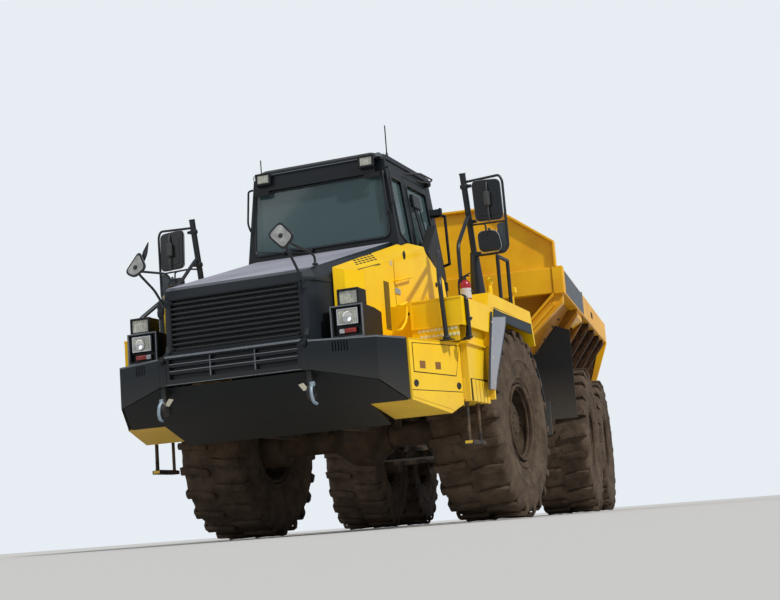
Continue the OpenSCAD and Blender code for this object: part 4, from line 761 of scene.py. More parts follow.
both("panel_latches",
    [oval((0.999, -1.156, 2.531), (1, 0, 0), 0.085, 0.055, 0.012),
        oval((0.999, -0.3, 2.36), (1, 0, 0), 0.05, 0.05, 0.01)], FINISHES["trim_black"])
both("pale_squares", [block((1.0, -1.535, 2.382), (1.003, -1.489, 2.424), 0.001)], TAG)
both("side_reflectors", [block((1.0, -1.462, 2.124), (1.01, -1.338, 2.178))], REFLECT)
both("panel_grab_bars",
    [pipe([(1.0, -1.468, 2.242), (1.045, -1.462, 2.244), (1.045, -1.086, 2.331), (1.0, -1.08, 2.333)], 0.011,
        0.03)])
both("panel_handles",
      [pipe([(1.0, -1.335, 2.04), (1.05, -1.32, 2.05), (1.05, -1.165, 2.062), (1.05, -1.135, 2.01),
             (1.05, -1.17, 1.88), (1.05, -1.25, 1.83), (1.0, -1.3, 1.822)], 0.013)])
both("deck_handles",
    [pipe([(1.2, -1.96, 1.926), (1.24, -1.962, 1.926), (1.24, -1.82, 1.955), (1.24, -1.86, 1.795),
            (1.24, -2.0, 1.705), (1.2, -2.005, 1.7)], 0.012, 0.05)])
seams = [block((0.9995, -1.4495, 1.7), (1.002, -1.4455, 2.43), 0.0)]
both("panel_seams", seams, OPENING_SHADE_AND_SEAMS)
panel_bolts = []
for z in (1.93, 2.19):
    for y in (-0.62, -1.4):
        panel_bolts.append(rod((1.0, y, z), (1.012, y, z), 0.012, 6, 0.002))
both("panel_bolts", panel_bolts)

# Side boxes: doors with their gaps, squares, plugs, creases, skirts and top edges

BOX_FROM, BOX_TO = Vector((1.398, -2.2697)), Vector((1.6, -1.53))
BOX_ALONG = (BOX_TO - BOX_FROM).normalized()
BOX_OUT = Vector((-BOX_ALONG.y, BOX_ALONG.x)) * -1.0


def on_box(y, z, out=0.0):
    """A point on the side box's slanted outer face, or a little off it."""
    share = (y - BOX_FROM.y) / (BOX_TO.y - BOX_FROM.y)
    place = BOX_FROM + (BOX_TO - BOX_FROM) * share + BOX_OUT * out
    return (place.x, place.y, z)


def box_sheet(corners, low, high, bevel=0.0):
    drawn = BOX_OUT * (high - low)
    return plate([on_box(y, z, low) for y, z in corners], (drawn.x, drawn.y, 0.0), bevel)


door = [box_sheet([(-2.222, 1.545), (-2.222, 1.304), (-1.622, 1.29), (-1.545, 1.556)], -0.002, 0.005, 0.002)]
both("box_doors", door)
gap = [box_sheet([(-2.229, 1.552), (-2.229, 1.297), (-1.613, 1.283), (-1.536, 1.563)], -0.002, 0.0012)]
both("box_door_gaps", gap, OPENING_SHADE_AND_SEAMS)
squares = []
for y in (-2.103, -1.881):
    squares += [box_sheet([(y - 0.04, 1.398), (y + 0.038, 1.398), (y + 0.038, 1.334), (y - 0.04, 1.334)],
        0.004, 0.0075, 0.001)]
both("box_squares", squares, plain("rusty_squares", (0.3, 0.13, 0.03), 0.6, 0.0, 70.0, 0.2, 0.45))
plugs = []
for y, z in ((-2.207, 1.204), (-1.587, 1.2)):
    plugs.append(oval(on_box(y, z, -0.001), (BOX_OUT.x, BOX_OUT.y, 0), 0.062, 0.066, 0.01))
both("box_plugs", plugs, FINISHES["trim_black"])
# The crease is a black line: painted shade in the fold.
crease = [box_sheet([(-2.266, 1.149), (-2.266, 1.143), (-1.536, 1.143), (-1.536, 1.149)], -0.001, 0.0012)]
both("box_creases", crease, OPENING_SHADE_AND_SEAMS)
fold = [box_sheet([(-2.262, 1.14), (-2.262, 1.086), (-1.728, 0.992), (-1.7, 0.976), (-1.54, 1.06),
        (-1.54, 1.14)], -0.002, 0.004, 0.002)]
both("box_skirts", fold)
edge = [plate([on_box(-2.266, 1.583, -0.02), on_box(-2.266, 1.583, 0.006), on_box(-1.532, 1.583, 0.006),
        on_box(-1.532, 1.583, -0.02)], (0, 0, 0.007), 0.002)]
both("box_top_edges", edge)

# Steps: fins, ledge, pale discs painted as light through the riser's holes, deck edges, hanging step, rail
# feet and the cab's foot plates

fins = []
for step in range(5):
    y = -1.47 + 0.1 * step
    fins.append(plate(on_x(1.6652, (y, 1.262), (y + 0.086, 1.262), (y + 0.098, 1.066), (y + 0.012, 1.06)),
                      (0.012, -0.004, 0), 0.004))
both("step_fins", fins)
# A black sheet between the fins: painted shade.
dark = [plate(on_x(1.6648, (-1.488, 1.268), (-0.985, 1.28), (-0.985, 1.07), (-1.488, 1.07)), (0.004, 0, 0))]
both("step_fin_gaps", dark, OPENING_SHADE_AND_SEAMS)
front_fins = []
for step in range(5):
    x = 1.12 + 0.105 * step
    front_fins.append(plate(on_y(-1.521, (x, 1.268), (x + 0.082, 1.268), (x + 0.082, 1.078), (x, 1.078)),
                            (0, -0.01, 0), 0.004))
both("step_front_fins", front_fins)
ledge = [block((1.055, -1.545, 1.575), (1.69, -1.005, 1.592)),
         block((1.56, -1.53, 1.592), (1.69, -1.5, 1.602), 0.003)]
both("step_ledges", ledge)
# Pale discs over the riser's two rows of holes: painted light, where light shows through them.
light_spots = []
for row in (0, 1):
    for step in range(10):
        x = 1.328 + 0.038 * step - 0.015 * row
        z = 1.645 + 0.055 * row
        light_spots.append(turned_form([(0.0, 0.0), (0.0165, 0.0), (0.015, 0.003), (0.0, 0.004)], (x, -1.745, z),
            (0, -1, 0), 16))
both("riser_hole_light", light_spots, plain("hole_light_spots", (0.9, 0.8, 0.42), 0.4))
deck = [block((1.236, -1.756, 1.958), (1.728, -1.742, 1.977)),
    block((1.236, -1.758, 1.722), (1.256, -1.742, 1.962)),
    block((1.238, -1.756, 1.716), (1.728, -1.74, 1.73), 0.003)]
both("deck_front_edges", deck)
# Black marks beside the deck: painted shade in its recesses.
notch = [block((1.196, -1.64, 1.8), (1.212, -1.618, 1.9), 0.003),
    block((1.216, -1.7495, 1.86), (1.235, -1.7475, 1.885), 0.0)]
both("deck_notches", notch, OPENING_SHADE_AND_SEAMS)
tread = [block((1.556, -1.484, 0.686), (1.644, -1.116, 0.694), 0.002),
    block((1.556, -1.484, 0.694), (1.564, -1.116, 0.722), 0.002),
    block((1.636, -1.484, 0.694), (1.644, -1.116, 0.722), 0.002)]
for step in range(9):
    y = -1.455 + 0.038 * step
    tread.append(plate([(1.562, y, 0.718), (1.638, y, 0.718), (1.638, y + 0.008, 0.718),
            (1.562, y + 0.008, 0.718)], (0, 0, 0.01)))
both("hanging_step_treads", tread, FINISHES["frame_black"])
hangers = []
for y in (-1.46, -1.134):
    hangers += [pipe([(1.6, y, 1.075), (1.602, y, 0.95), (1.6, y - 0.01, 0.72)], 0.013, 0.05),
                block((1.585, y - 0.03, 1.04), (1.615, y + 0.03, 1.078))]
both("hanging_step_straps", hangers, FINISHES["frame_black"])
feet = [upright(1.7443, -1.64, 1.772, 1.79, 0.034, 20, 0.004),
    block((1.7, -1.662, 1.76), (1.766, -1.618, 1.776)),
    rod((1.7443, -1.64, 1.776), (1.718, -1.64, 1.604), 0.019, 16),
    upright(1.716, -1.64, 1.6, 1.616, 0.034, 20, 0.004),
    block((1.655, -1.662, 1.592), (1.745, -1.618, 1.602), 0.003)]
both("long_rail_feet", feet, slot="rail_black")
second_rail = [pipe([(1.1, -0.47, 2.654), (1.4, -1.337, 2.475), (1.549, -1.786, 2.14), (1.575, -1.786, 1.6)],
        0.021, 0.09),
    block((1.5, -1.83, 1.5855), (1.64, -1.752, 1.598)),
    upright(1.575, -1.786, 1.586, 1.625, 0.034, 20, 0.004)]
both("pillar_rails", second_rail, slot="rail_black")
foot = ((-0.399, 2.675), (-0.17, 2.51), (-0.054, 2.459), (0.092, 2.525), (-0.004, 2.736), (-0.067, 3.02))
FOOT_X = 0.974
for name, body, side in (("door_foot_plate", "door", 1), ("cab_foot_plate", "front", -1)):
    outline = [(side * FOOT_X, y, z) for y, z in foot]
    dress(name, body, "trim_black", [plate(outline, (side * -0.1, 0, 0), 0.006)])

# Door mirrors: posts, loops, heads, brackets and the rails beside the steps

MIRROR_RIM = plain("mirror_rim", (0.26, 0.27, 0.27), 0.35)
MIRROR_BACK = plain("mirror_back", (0.01, 0.013, 0.014), 0.22, 0.0, 8.0, 0.02, 0.6)
SLATE = plain("slate_plate", (0.04, 0.055, 0.065), 0.35, 0.0, 6.0, 0.02)


def ring_pipe(outline, radius):
    """A thin tube along a closed outline."""
    return pipe([*outline, outline[0]], radius, 0.0, 2)


BIG_HEAD = soft(on_y(-0.742, (1.593, 3.24), (1.872, 3.222), (1.88, 2.828), (1.606, 2.838)), 0.055)
SMALL_HEAD = soft(on_y(-0.748, (1.61, 2.738), (1.812, 2.728), (1.846, 2.528), (1.618, 2.532)), 0.065)
MIRROR_POST = (1.5, -0.52)
posts = [upright(*MIRROR_POST, 2.1045, 2.128, 0.1, 32, 0.004),
    rod((*MIRROR_POST, 2.128), (1.5, -0.535, 2.56), 0.078, 28, 0.0, 0.042),
    pipe([(1.5, -0.532, 2.545), (1.5, -0.7, 3.33)], 0.031),
    rod((1.5, -0.699, 3.326), (1.5, -0.702, 3.34), 0.033, 20, 0.003),
    pipe([(1.5, -0.672, 3.255), (1.765, -0.715, 3.256), (1.872, -0.72, 3.26), (1.8985, -0.72, 3.2),
            (1.9005, -0.712, 2.56), (1.86, -0.705, 2.512), (1.7, -0.69, 2.512), (1.5, -0.535, 2.548)], 0.0125,
        0.05),
    pipe([(1.5, -0.59, 2.822), (1.56, -0.69, 2.82), (1.9, -0.716, 2.806)], 0.009, 0.03),
    pipe([(1.58, -0.705, 2.816), (1.685, -0.74, 2.804), (1.704, -0.752, 2.79), (1.708, -0.756, 2.69)], 0.009,
        0.03),
    pipe([(1.5, -0.612, 2.95), (1.505, -0.7, 2.88), (1.512, -1.06, 2.566), (1.516, -1.07, 1.98)], 0.019,
        0.07),
    pipe([(1.64, -1.615, 1.981), (1.7, -1.64, 1.99), (1.744, -1.662, 1.96), (1.744, -1.645, 1.61)], 0.019,
        0.05)]
for turn in range(6):
    a = math.tau * turn / 6
    x, y = MIRROR_POST[0] + 0.085 * math.cos(a), MIRROR_POST[1] + 0.085 * math.sin(a)
    posts.append(upright(x, y, 2.126, 2.142, 0.009, 6))
for z in (2.565, 2.87, 3.21):
    y = -0.532 - 0.168 * (z - 2.545) / 0.785
    posts += [rod((1.5, y + 0.004, z - 0.02), (1.5, y - 0.004, z + 0.02), 0.041, 24, 0.003),
        block((1.538, y - 0.016, z - 0.014), (1.572, y + 0.016, z + 0.014)),
        rod((1.556, y - 0.026, z), (1.556, y + 0.026, z), 0.006, 6)]
posts += [upright(1.516, -1.07, 1.9765, 1.986, 0.036, 20, 0.003),
    rod((1.744, -1.646, 1.604), (1.744, -1.645, 1.622), 0.026, 20, 0.003)]
made = both("mirror_posts", posts, slot="rail_black")
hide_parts("mirrors")
shells = [plate(BIG_HEAD, (0, 0.046, 0), 0.012), plate(SMALL_HEAD, (0, 0.05, 0), 0.016)]
shells.append(plate(soft(on_y(-0.7465, (1.64, 3.195), (1.835, 3.182), (1.842, 2.87), (1.65, 2.88)), 0.04),
    (0, 0.008, 0), 0.003))
both("mirror_shells", shells, MIRROR_BACK, "rail_black")
both("mirror_rims", [ring_pipe(moved(head, 0.02), 0.0055) for head in (BIG_HEAD, SMALL_HEAD)], MIRROR_RIM,
    "rail_black")
panes = [plate(soft(on_y(-0.696, (1.606, 3.226), (1.86, 3.21), (1.868, 2.842), (1.618, 2.85)), 0.04),
        (0, 0.003, 0)),
    plate(soft(on_y(-0.698, (1.624, 2.724), (1.8, 2.716), (1.83, 2.542), (1.632, 2.546)), 0.05),
        (0, 0.003, 0))]
both("mirror_panes", panes, plain("mirror_glass", (0.75, 0.77, 0.78), 0.08, 1.0, 20.0, 0.0, 0.97),
    "rail_black")
both("mirror_guards",
    [plate(soft([(1.808, -0.712, 2.792), (1.896, -0.716, 2.798), (1.896, -0.712, 2.56),
                (1.858, -0.708, 2.524), (1.79, -0.706, 2.524)], 0.02), (0, 0.004, 0))], SLATE, "rail_black")
grips = [block((1.716, -0.8, 2.962), (1.776, -0.75, 3.108), 0.018),
    pipe([(1.748, -0.752, 3.2), (1.75, -0.775, 3.15), (1.752, -0.775, 2.9), (1.752, -0.756, 2.815)], 0.008,
        0.03),
    block((1.725, -0.764, 2.72), (1.75, -0.745, 2.752))]
both("mirror_grips", grips, plain("grip_grey", (0.045, 0.046, 0.046), 0.5), "rail_black")
feet = [upright(1.6, y, 2.1, 2.118, 0.034, 20, 0.004) for y in (-0.1, 0.24)]
both("hoop_feet", feet, slot="rail_black")

# Hood mirrors: one rounded head on each side of the nose, on two bent arms

def hood_mirror(corners, low, knee, high, elbow):
    rim = soft([(x, -3.078, z) for x, z in corners], 0.045)
    middle = sum(rim, Vector()) / len(rim)
    inner = [middle + (p - middle) * 0.86 + Vector((0, -0.006, 0)) for p in rim]
    head = [plate(rim, (0, 0.026, 0), 0.008), ring_pipe(moved(rim, 0.006), 0.007)]
    arms = [pipe([middle + Vector((0, -0.004, 0)), middle + Vector((0.01, 0.03, -0.06)), knee, low], 0.0115,
            0.04),
        pipe([middle + Vector((0.005, 0.045, -0.03)), elbow, (high[0], high[1], high[2] + 0.075), high],
            0.0105, 0.035),
        block((low[0] - 0.02, low[1] - 0.006, low[2] - 0.028), (low[0] + 0.02, low[1] + 0.01, low[2] + 0.022),
            0.003),
        upright(high[0], high[1], high[2] - 0.006, high[2] + 0.012, 0.026, 18, 0.003),
        rod(middle + Vector((-0.004, -0.012, 0)), middle + Vector((-0.004, 0.012, 0)), 0.02, 16, 0.004)]
    return head + arms, plate(inner, (0, 0.004, 0), 0.002)


first, first_back = hood_mirror([(0.65, 2.57), (0.776, 2.428), (0.672, 2.325), (0.528, 2.47)],
    (0.686, -2.744, 2.08), (0.664, -2.86, 2.235), (0.712, -2.56, 2.275), (0.7, -2.66, 2.375))
second, second_back = hood_mirror([(-0.7, 2.512), (-0.64, 2.36), (-0.76, 2.29), (-0.85, 2.345)],
    (-0.686, -2.744, 2.08), (-0.7, -2.86, 2.2), (-0.712, -2.56, 2.275), (-0.7, -2.66, 2.375))
second.append(plate(soft(on_y(-3.05, (-0.618, 2.6), (-0.64, 2.48), (-0.7, 2.375), (-0.69, 2.5)), 0.03),
    (0, 0.008, 0), 0.003))
made = dress("hood_mirror_arms", "hood", "rail_black", first + second)
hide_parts("hood_mirrors")
dress("hood_mirror_backs", "hood", "rail_black", [first_back, second_back],
    plain("mirror_silver", (0.46, 0.46, 0.44), 0.45, 0.0, 14.0, 0.1, 0.35))

# Cab: windscreen, wiper, visor tabs, roof edge, lamps, rails, aerials, door and rear guard

def cab_x(z, out=0.0):
    """Outside of the cab's side wall at a height."""
    return 0.84 - (z - 2.6) * 0.1168 + out


def front_y(z, out=0.0):
    """Front of the cab at a height."""
    return -0.795 + max(0.0, z - 2.6) * 0.0347 - out


SCREEN = [(-0.7, 3.462), (0.7, 3.462), (0.738, 2.812), (-0.738, 2.812)]
screen = soft([(x, front_y(z, 0.006), z) for x, z in SCREEN], 0.07)
dress("windscreen_seal", "front", "cab_black", [ring_pipe(screen, 0.013)], FINISHES["rail_black"])
dress("windscreen_panes", "front", "glass_green", [plate(moved(screen, 0.004), (0, 0.003, 0))])
sweep = [pipe([(-0.42, front_y(2.8, 0.024), 2.795), (-0.36, front_y(2.84, 0.04), 2.838),
            (-0.105, front_y(2.8, 0.03), 2.795)], 0.008, 0.03),
    plate(on_y(front_y(2.86, 0.022), (-0.7, 2.858), (-0.11, 2.772), (-0.11, 2.762), (-0.7, 2.848)),
        (0, -0.008, 0)),
    rod((-0.105, front_y(2.79, -0.002), 2.792), (-0.105, front_y(2.79, 0.034), 2.792), 0.016, 16, 0.003)]
dress("wipers", "front", "rail_black", sweep)
tabs = [plate(on_y(-0.836, (0.52, 3.47), (0.7, 3.47), (0.69, 3.418), (0.532, 3.418)), (0, 0.012, 0), 0.003)]
both("visor_tabs", tabs, FINISHES["lamp_black"], "cab_black")
# The roof's front edge and corners are painted a lighter grey-blue than the cab: painted highlight.
corner = [(0.655, -0.826, 3.628), (0.715, -0.78, 3.628), (0.676, -0.745, 3.68), (0.655, -0.77, 3.68)]
lit_brow = [plate([(-0.486, -0.834, 3.622), (0.486, -0.834, 3.622), (0.486, -0.77, 3.672),
            (-0.486, -0.77, 3.672)], (0, 0.01, 0.01), 0.002),
    *(plate(across(side, corner), (0, 0.01, 0.004)) for side in BOTH_SIDES)]
dress("roof_brows", "front", "cab_black", lit_brow,
    dark_paint("roof_edge_highlight", (0.055, 0.07, 0.08), 0.4, 0.9, 1.5, 0.1, 0.12, 0.4))
both("roof_lamp_frames", surround((0.482, 3.522), (0.652, 3.646), -0.874, -0.85, 0.021, 0.006),
    slot="lamp_black")
both("roof_lamp_lenses", ribbed_lens((0.502, -0.866, 3.542), (0.632, -0.852, 3.626), 5), GLASS, "lamp_black")
grabs = [pipe([(0.742, -0.752, 3.52), (0.778, -0.785, 3.505), (0.8, -0.795, 3.16), (0.778, -0.782, 3.085)],
        0.0105, 0.04),
    pipe([(0.712, -0.79, 3.48), (0.714, -0.8, 3.44), (0.742, -0.812, 3.1), (0.76, -0.8, 3.055)], 0.008, 0.03)]
both("pillar_grabs", grabs, slot="rail_black")
rails = [pipe([(0.722, -0.24, 3.56), (0.772, 0.138, 3.634), (0.776, 0.5, 3.64), (0.776, 0.37, 3.58),
        (0.722, 0.08, 3.556)], 0.0095, 0.04)]
dress("cab_rails", "front", "rail_black", rails)
dress("rear_lamp_shells", "front", "lamp_black",
    [turned_form([(0.0, 0.0), (0.03, 0.0), (0.036, 0.012), (0.036, 0.05), (0.031, 0.056), (0.026, 0.05),
            (0.0, 0.05)], (0.722, 0.402, 3.578), (1, 0, 0), 24)])
bases = [upright(x, -0.615, 3.64, 3.712, 0.016, 16, 0.004, 0.009) for x in (0.702, -0.702)]
wire = [(-0.735 - 0.05 * math.cos(math.tau * k / 16), -0.64, 3.668 + 0.04 * math.sin(math.tau * k / 16))
    for k in range(17)]
bases.append(pipe(wire, 0.004, 0.0, 2))
dress("aerial_bases", "front", "rail_black", bases)


def on_side(points, out, thick, bevel=0.0):
    """A sheet on the cab's side wall, through (y, z) points."""
    return plate([(cab_x(z, out), y, z) for y, z in points], (thick, 0, 0), bevel)


dress("door_skirts", "door", "cab_black",
    [on_side([(-0.262, 2.722), (0.064, 2.8), (0.314, 2.93), (0.314, 2.545), (0.056, 2.545), (-0.262, 2.704)],
        -0.004, 0.007, 0.002)])
window = [(cab_x(z, 0.003), y, z)
    for y, z in ((-0.262, 3.442), (0.312, 3.442), (0.312, 2.56), (0.058, 2.558), (-0.262, 2.718))]
dress("door_seals", "door", "cab_black", [ring_pipe(soft(window, 0.035), 0.008)], FINISHES["rail_black"])
grip = [on_side([(-0.215, 3.345), (-0.01, 3.345), (-0.01, 3.205), (-0.215, 3.205)], 0.0, 0.04, 0.01),
        on_side([(-0.15, 3.21), (-0.075, 3.21), (0.03, 2.8), (-0.05, 2.8)], 0.0, 0.018, 0.004),
        pipe([(cab_x(3.2, 0.03), -0.05, 3.21), (cab_x(2.82, 0.03), 0.045, 2.8)], 0.008)]
dress("door_handles", "door", "cab_black", grip, FINISHES["rail_black"])
quarter = [(cab_x(z, 0.003), y, z) for y, z in ((-0.7, 3.44), (-0.4, 3.44), (-0.4, 2.722), (-0.7, 2.842))]
both("quarter_seals", [ring_pipe(soft(quarter, 0.03), 0.008)], FINISHES["rail_black"], "cab_black")
mesh_bars = []
for y, low, high in ((0.452, 0.0, 0.1), (0.456, 0.1, 0.0)):
    for k in range(17):
        x = -0.56 + 0.035 * k
        mesh_bars.append(pipe([(x + low, y, 3.1), (x + high, y, 3.43)], 0.0035, 0.0, 1))
dress("rear_guard_bars", "front", "cab_black", mesh_bars, SILVER)

# Extinguisher, side lamp, and the small posts on the fender

BOTTLE = (1.555, -1.075)
bottle = turned_form([(0.0, 0.0), (0.044, 0.0), (0.052, 0.01), (0.052, 0.2), (0.046, 0.226), (0.028, 0.243),
        (0.015, 0.248), (0.0, 0.248)], (*BOTTLE, 1.978), (0, 0, 1), 36)
made = dress("extinguisher_bottle", "front", "extinguisher_red", [bottle])
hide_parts("extinguisher")
band = turned_form([(0.0515, 0.0), (0.0526, 0.001), (0.0526, 0.094), (0.0515, 0.095)], (*BOTTLE, 2.05),
    (0, 0, 1), 36)
dress("extinguisher_band", "front", "extinguisher_red", [band],
    plain("pale_band", (0.62, 0.6, 0.6), 0.4, 0.0, 60.0, 0.1, 0.7))
valve = [upright(*BOTTLE, 2.215, 2.262, 0.016, 16),
    block((1.52, -1.085, 2.256), (1.605, -1.065, 2.268), 0.003),
    plate(on_y(-1.083, (1.545, 2.268), (1.615, 2.292), (1.62, 2.284), (1.55, 2.258)), (0, 0.016, 0), 0.002),
    pipe([(1.545, -1.075, 2.24), (1.5, -1.078, 2.245), (1.494, -1.09, 2.19), (1.497, -1.095, 2.06)], 0.008,
        0.04),
    pipe([(1.5, -1.075, 2.12), (1.5, -1.03, 2.12), (1.555, -1.015, 2.12), (1.612, -1.03, 2.12),
            (1.612, -1.075, 2.12)], 0.006, 0.03),
    block((1.53, -1.02, 1.99), (1.58, -1.004, 2.14), 0.003)]
dress("extinguisher_valve", "front", "rail_black", valve)
lamp_form = turned_form([(0.0, 0.0), (0.028, 0.0), (0.034, 0.01), (0.034, 0.05), (0.026, 0.072),
        (0.012, 0.082), (0.0, 0.084)], (1.592, -1.0, 1.812), (0, -1, 0.15), 24)
both("side_lamps", [lamp_form, block((1.57, -1.012, 1.795), (1.614, -0.999, 1.86))], slot="lamp_black")
stubs = [upright(1.4, 0.2, 2.085, 2.375, 0.026, 20, 0.003), upright(1.4, 0.2, 2.372, 2.432, 0.036, 20, 0.008),
    upright(1.4, 0.2, 2.43, 2.446, 0.016, 12, 0.003),
    block((1.535, 0.38, 2.285), (1.615, 0.44, 2.345), 0.008), upright(1.575, 0.41, 2.075, 2.29, 0.012, 12)]
both("fender_stubs", stubs)

# Fender: pale plate with its dark strip and bolts, the fold above the rubber band, and a black liner in the
# arch as painted shade

pale = plate(on_x(1.7362, (-0.905, 1.871), (-0.47, 1.925), (-0.5, 1.85), (-0.93, 1.3), (-0.985, 1.19),
        (-1.15, 1.182), (-1.05, 1.5)), (0.0025, 0, 0), 0.001)
strip_edge = plate(on_x(1.7335, (-0.935, 1.925), (-0.88, 1.925), (-1.02, 1.42), (-1.11, 1.176),
        (-1.205, 1.176), (-1.1, 1.5)), (0.0025, 0, 0), 0.001)
both("flare_strips", [strip_edge], slot="trim_black")
both("fender_plates", [pale], dark_paint("pale_plate", (0.3, 0.31, 0.34), 0.5, 0.9, 1.6, 0.3, 0.1),
    "guard_grey")
heads = [turned_form([(0.0, 0.0), (0.014, 0.0), (0.013, 0.005), (0.0, 0.008)], (1.736, y, z), (1, 0, 0), 14)
         for y, z in ((-0.925, 1.82), (-0.96, 1.66), (-0.99, 1.48), (-1.015, 1.245))]
both("fender_bolts", heads, TAG, "guard_grey")
fold = [plate(on_x(1.7255, (-0.88, 1.962), (-0.88, 1.972), (0.48, 1.964), (0.48, 1.952)), (0.004, 0, 0),
    0.001)]
both("fender_folds", fold)
# A black rubber sheet inside the arch: painted shade.
arch = [plate(on_x(1.1, (-0.955, 1.15), (-0.955, 1.9), (-0.9, 2.07), (0.42, 2.055), (0.42, 2.045),
        (-0.895, 2.06), (-0.945, 1.9), (-0.945, 1.15)), (0.62, 0, 0))]
both("arch_shade_liners", arch, FINISHES["flap_rubber"])
covers = [pipe([(1.6, y, 1.062), (1.6, y, 0.73)], 0.0165, 0.0, 2) for y in (-1.452, -1.142)]
both("step_hanger_covers", covers, FINISHES["frame_black"])

# Tipping body: level rails, folded headboard, channel beams, ribs and tail rim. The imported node's
# lugs, ears and bearers are drawn again here, because these pieces take its place.

RAIL_OUT, RAIL_IN, RAIL_LOW, RAIL_HIGH = 1.725, 1.597, 2.545, 2.842
FLOOR_HALF, FLOOR_Z, TUB_FRONT, TUB_KNEE, TUB_END = 1.18, 1.9655, 2.45, 7.31, 7.646
TAIL_HALF, TAIL_Z, WALL_TOP = 1.44, 1.88, 2.552
RIB_ROWS = (3.66, 4.36, 5.1, 5.86, 6.6, 7.2)
FLOOR_BEAM_ROWS = (2.95, 3.75, 4.55, 5.35, 6.15)


def under_shade_and_rust():
    """Paint under the body, darker than the body's paint as painted shade: dark orange at the front, turning
    to rust and caked dirt towards the tail, darkened further there as painted shade.
    """
    finish = Finish("body_under", (0.3, 0.13, 0.012), 0.6, Specular_IOR_Level=0.2)
    rust = finish.noise(3.0, 6.0, 0.65)
    grain = finish.noise(26.0, 5.0, 0.6)
    amount = ((finish.y - 0.6) * 0.42 + (rust - 0.5) * 1.1).clamped()
    # The dark colours stand for rust together with painted shade.
    rust_and_shade = finish.mix((0.085, 0.034, 0.01), (0.016, 0.011, 0.008), grain.ramped(0.35, 0.65))
    finish.colour(finish.mix((0.46, 0.19, 0.006), rust_and_shade, amount))
    finish.bump(rust + grain * 0.4, 0.3, 0.01)
    return finish.material


def side_block(side, low, high, bevel):
    """A block given for the truck's left side, on either side."""
    near, far = sorted((side * low[0], side * high[0]))
    return block((near, *low[1:]), (far, *high[1:]), bevel)


def edge_line(half, y, z):
    """The two ends of an edge that runs across the body."""
    return [(-half, y, z), (half, y, z)]


PAINTED = NODES["dump_body"].data.materials[0]
UNDER_SHADE_AND_RUST = under_shade_and_rust()

board = on_y(2.212, (-1.655, 2.855), (1.655, 2.855), (1.648, 3.16), (0.97, 3.655), (-0.97, 3.655),
    (-1.648, 3.16))
shell = [block((-RAIL_IN + 0.002, 2.175, RAIL_LOW + 0.005), (RAIL_IN - 0.002, 2.33, 2.862), 0.012),
         plate(board, (0, 0.03, 0)), block((-0.985, 2.15, 3.64), (0.985, 2.262, 3.668), 0.005)]
bars = [((RAIL_IN, 2.33, RAIL_LOW), (RAIL_OUT, TUB_END - 0.05, RAIL_HIGH)),
        ((RAIL_IN, 2.16, RAIL_LOW - 0.006), (RAIL_OUT, 2.334, 2.868)),
        ((1.63, 2.15, 2.866), (1.656, 2.262, 3.168)), ((0.979, 2.204, 2.866), (0.991, 2.214, 3.642))]
plates = [(on_y(2.15, (0.965, 3.642), (1.64, 3.148), (1.657, 3.168), (0.978, 3.668)), 0.112, 0.003),
    (on_y(2.2, (1.59, 2.56), (1.19, 2.175), (1.19, 2.035), (1.225, 2.02), (1.69, 2.43), (1.7, 2.56)), 0.11,
        0.004),
    (on_y(2.16, (1.59, 2.56), (1.19, 2.175), (1.19, 2.14), (1.6, 2.525)), 0.046, 0.004),
    (on_y(2.16, (1.59, 2.455), (1.19, 2.07), (1.19, 2.035), (1.6, 2.415)), 0.046, 0.004),
    (on_y(7.6, (RAIL_OUT, RAIL_HIGH), (RAIL_OUT, 2.53), (TAIL_HALF + 0.04, TAIL_Z - 0.01),
            (TAIL_HALF - 0.04, TAIL_Z - 0.01), (1.6, 2.5), (1.6, RAIL_HIGH)), 0.047, 0.006)]
for side in BOTH_SIDES:
    shell += [side_block(side, low, high, 0.008) for low, high in bars]
    shell += [plate(across(side, points), (0, depth, 0), bevel) for points, depth, bevel in plates]
shell.append(block((-TAIL_HALF, 7.56, TAIL_Z - 0.012), (TAIL_HALF, 7.647, TAIL_Z + 0.03), 0.008))
shell.append(plate(on_y(2.262, (-1.55, 3.0), (1.55, 3.0), (1.57, 2.86), (-1.57, 2.86)), (0, 0.01, 0)))
made = dress("body_shell", "dump", "body_yellow", shell, PAINTED)
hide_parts("dump_body")

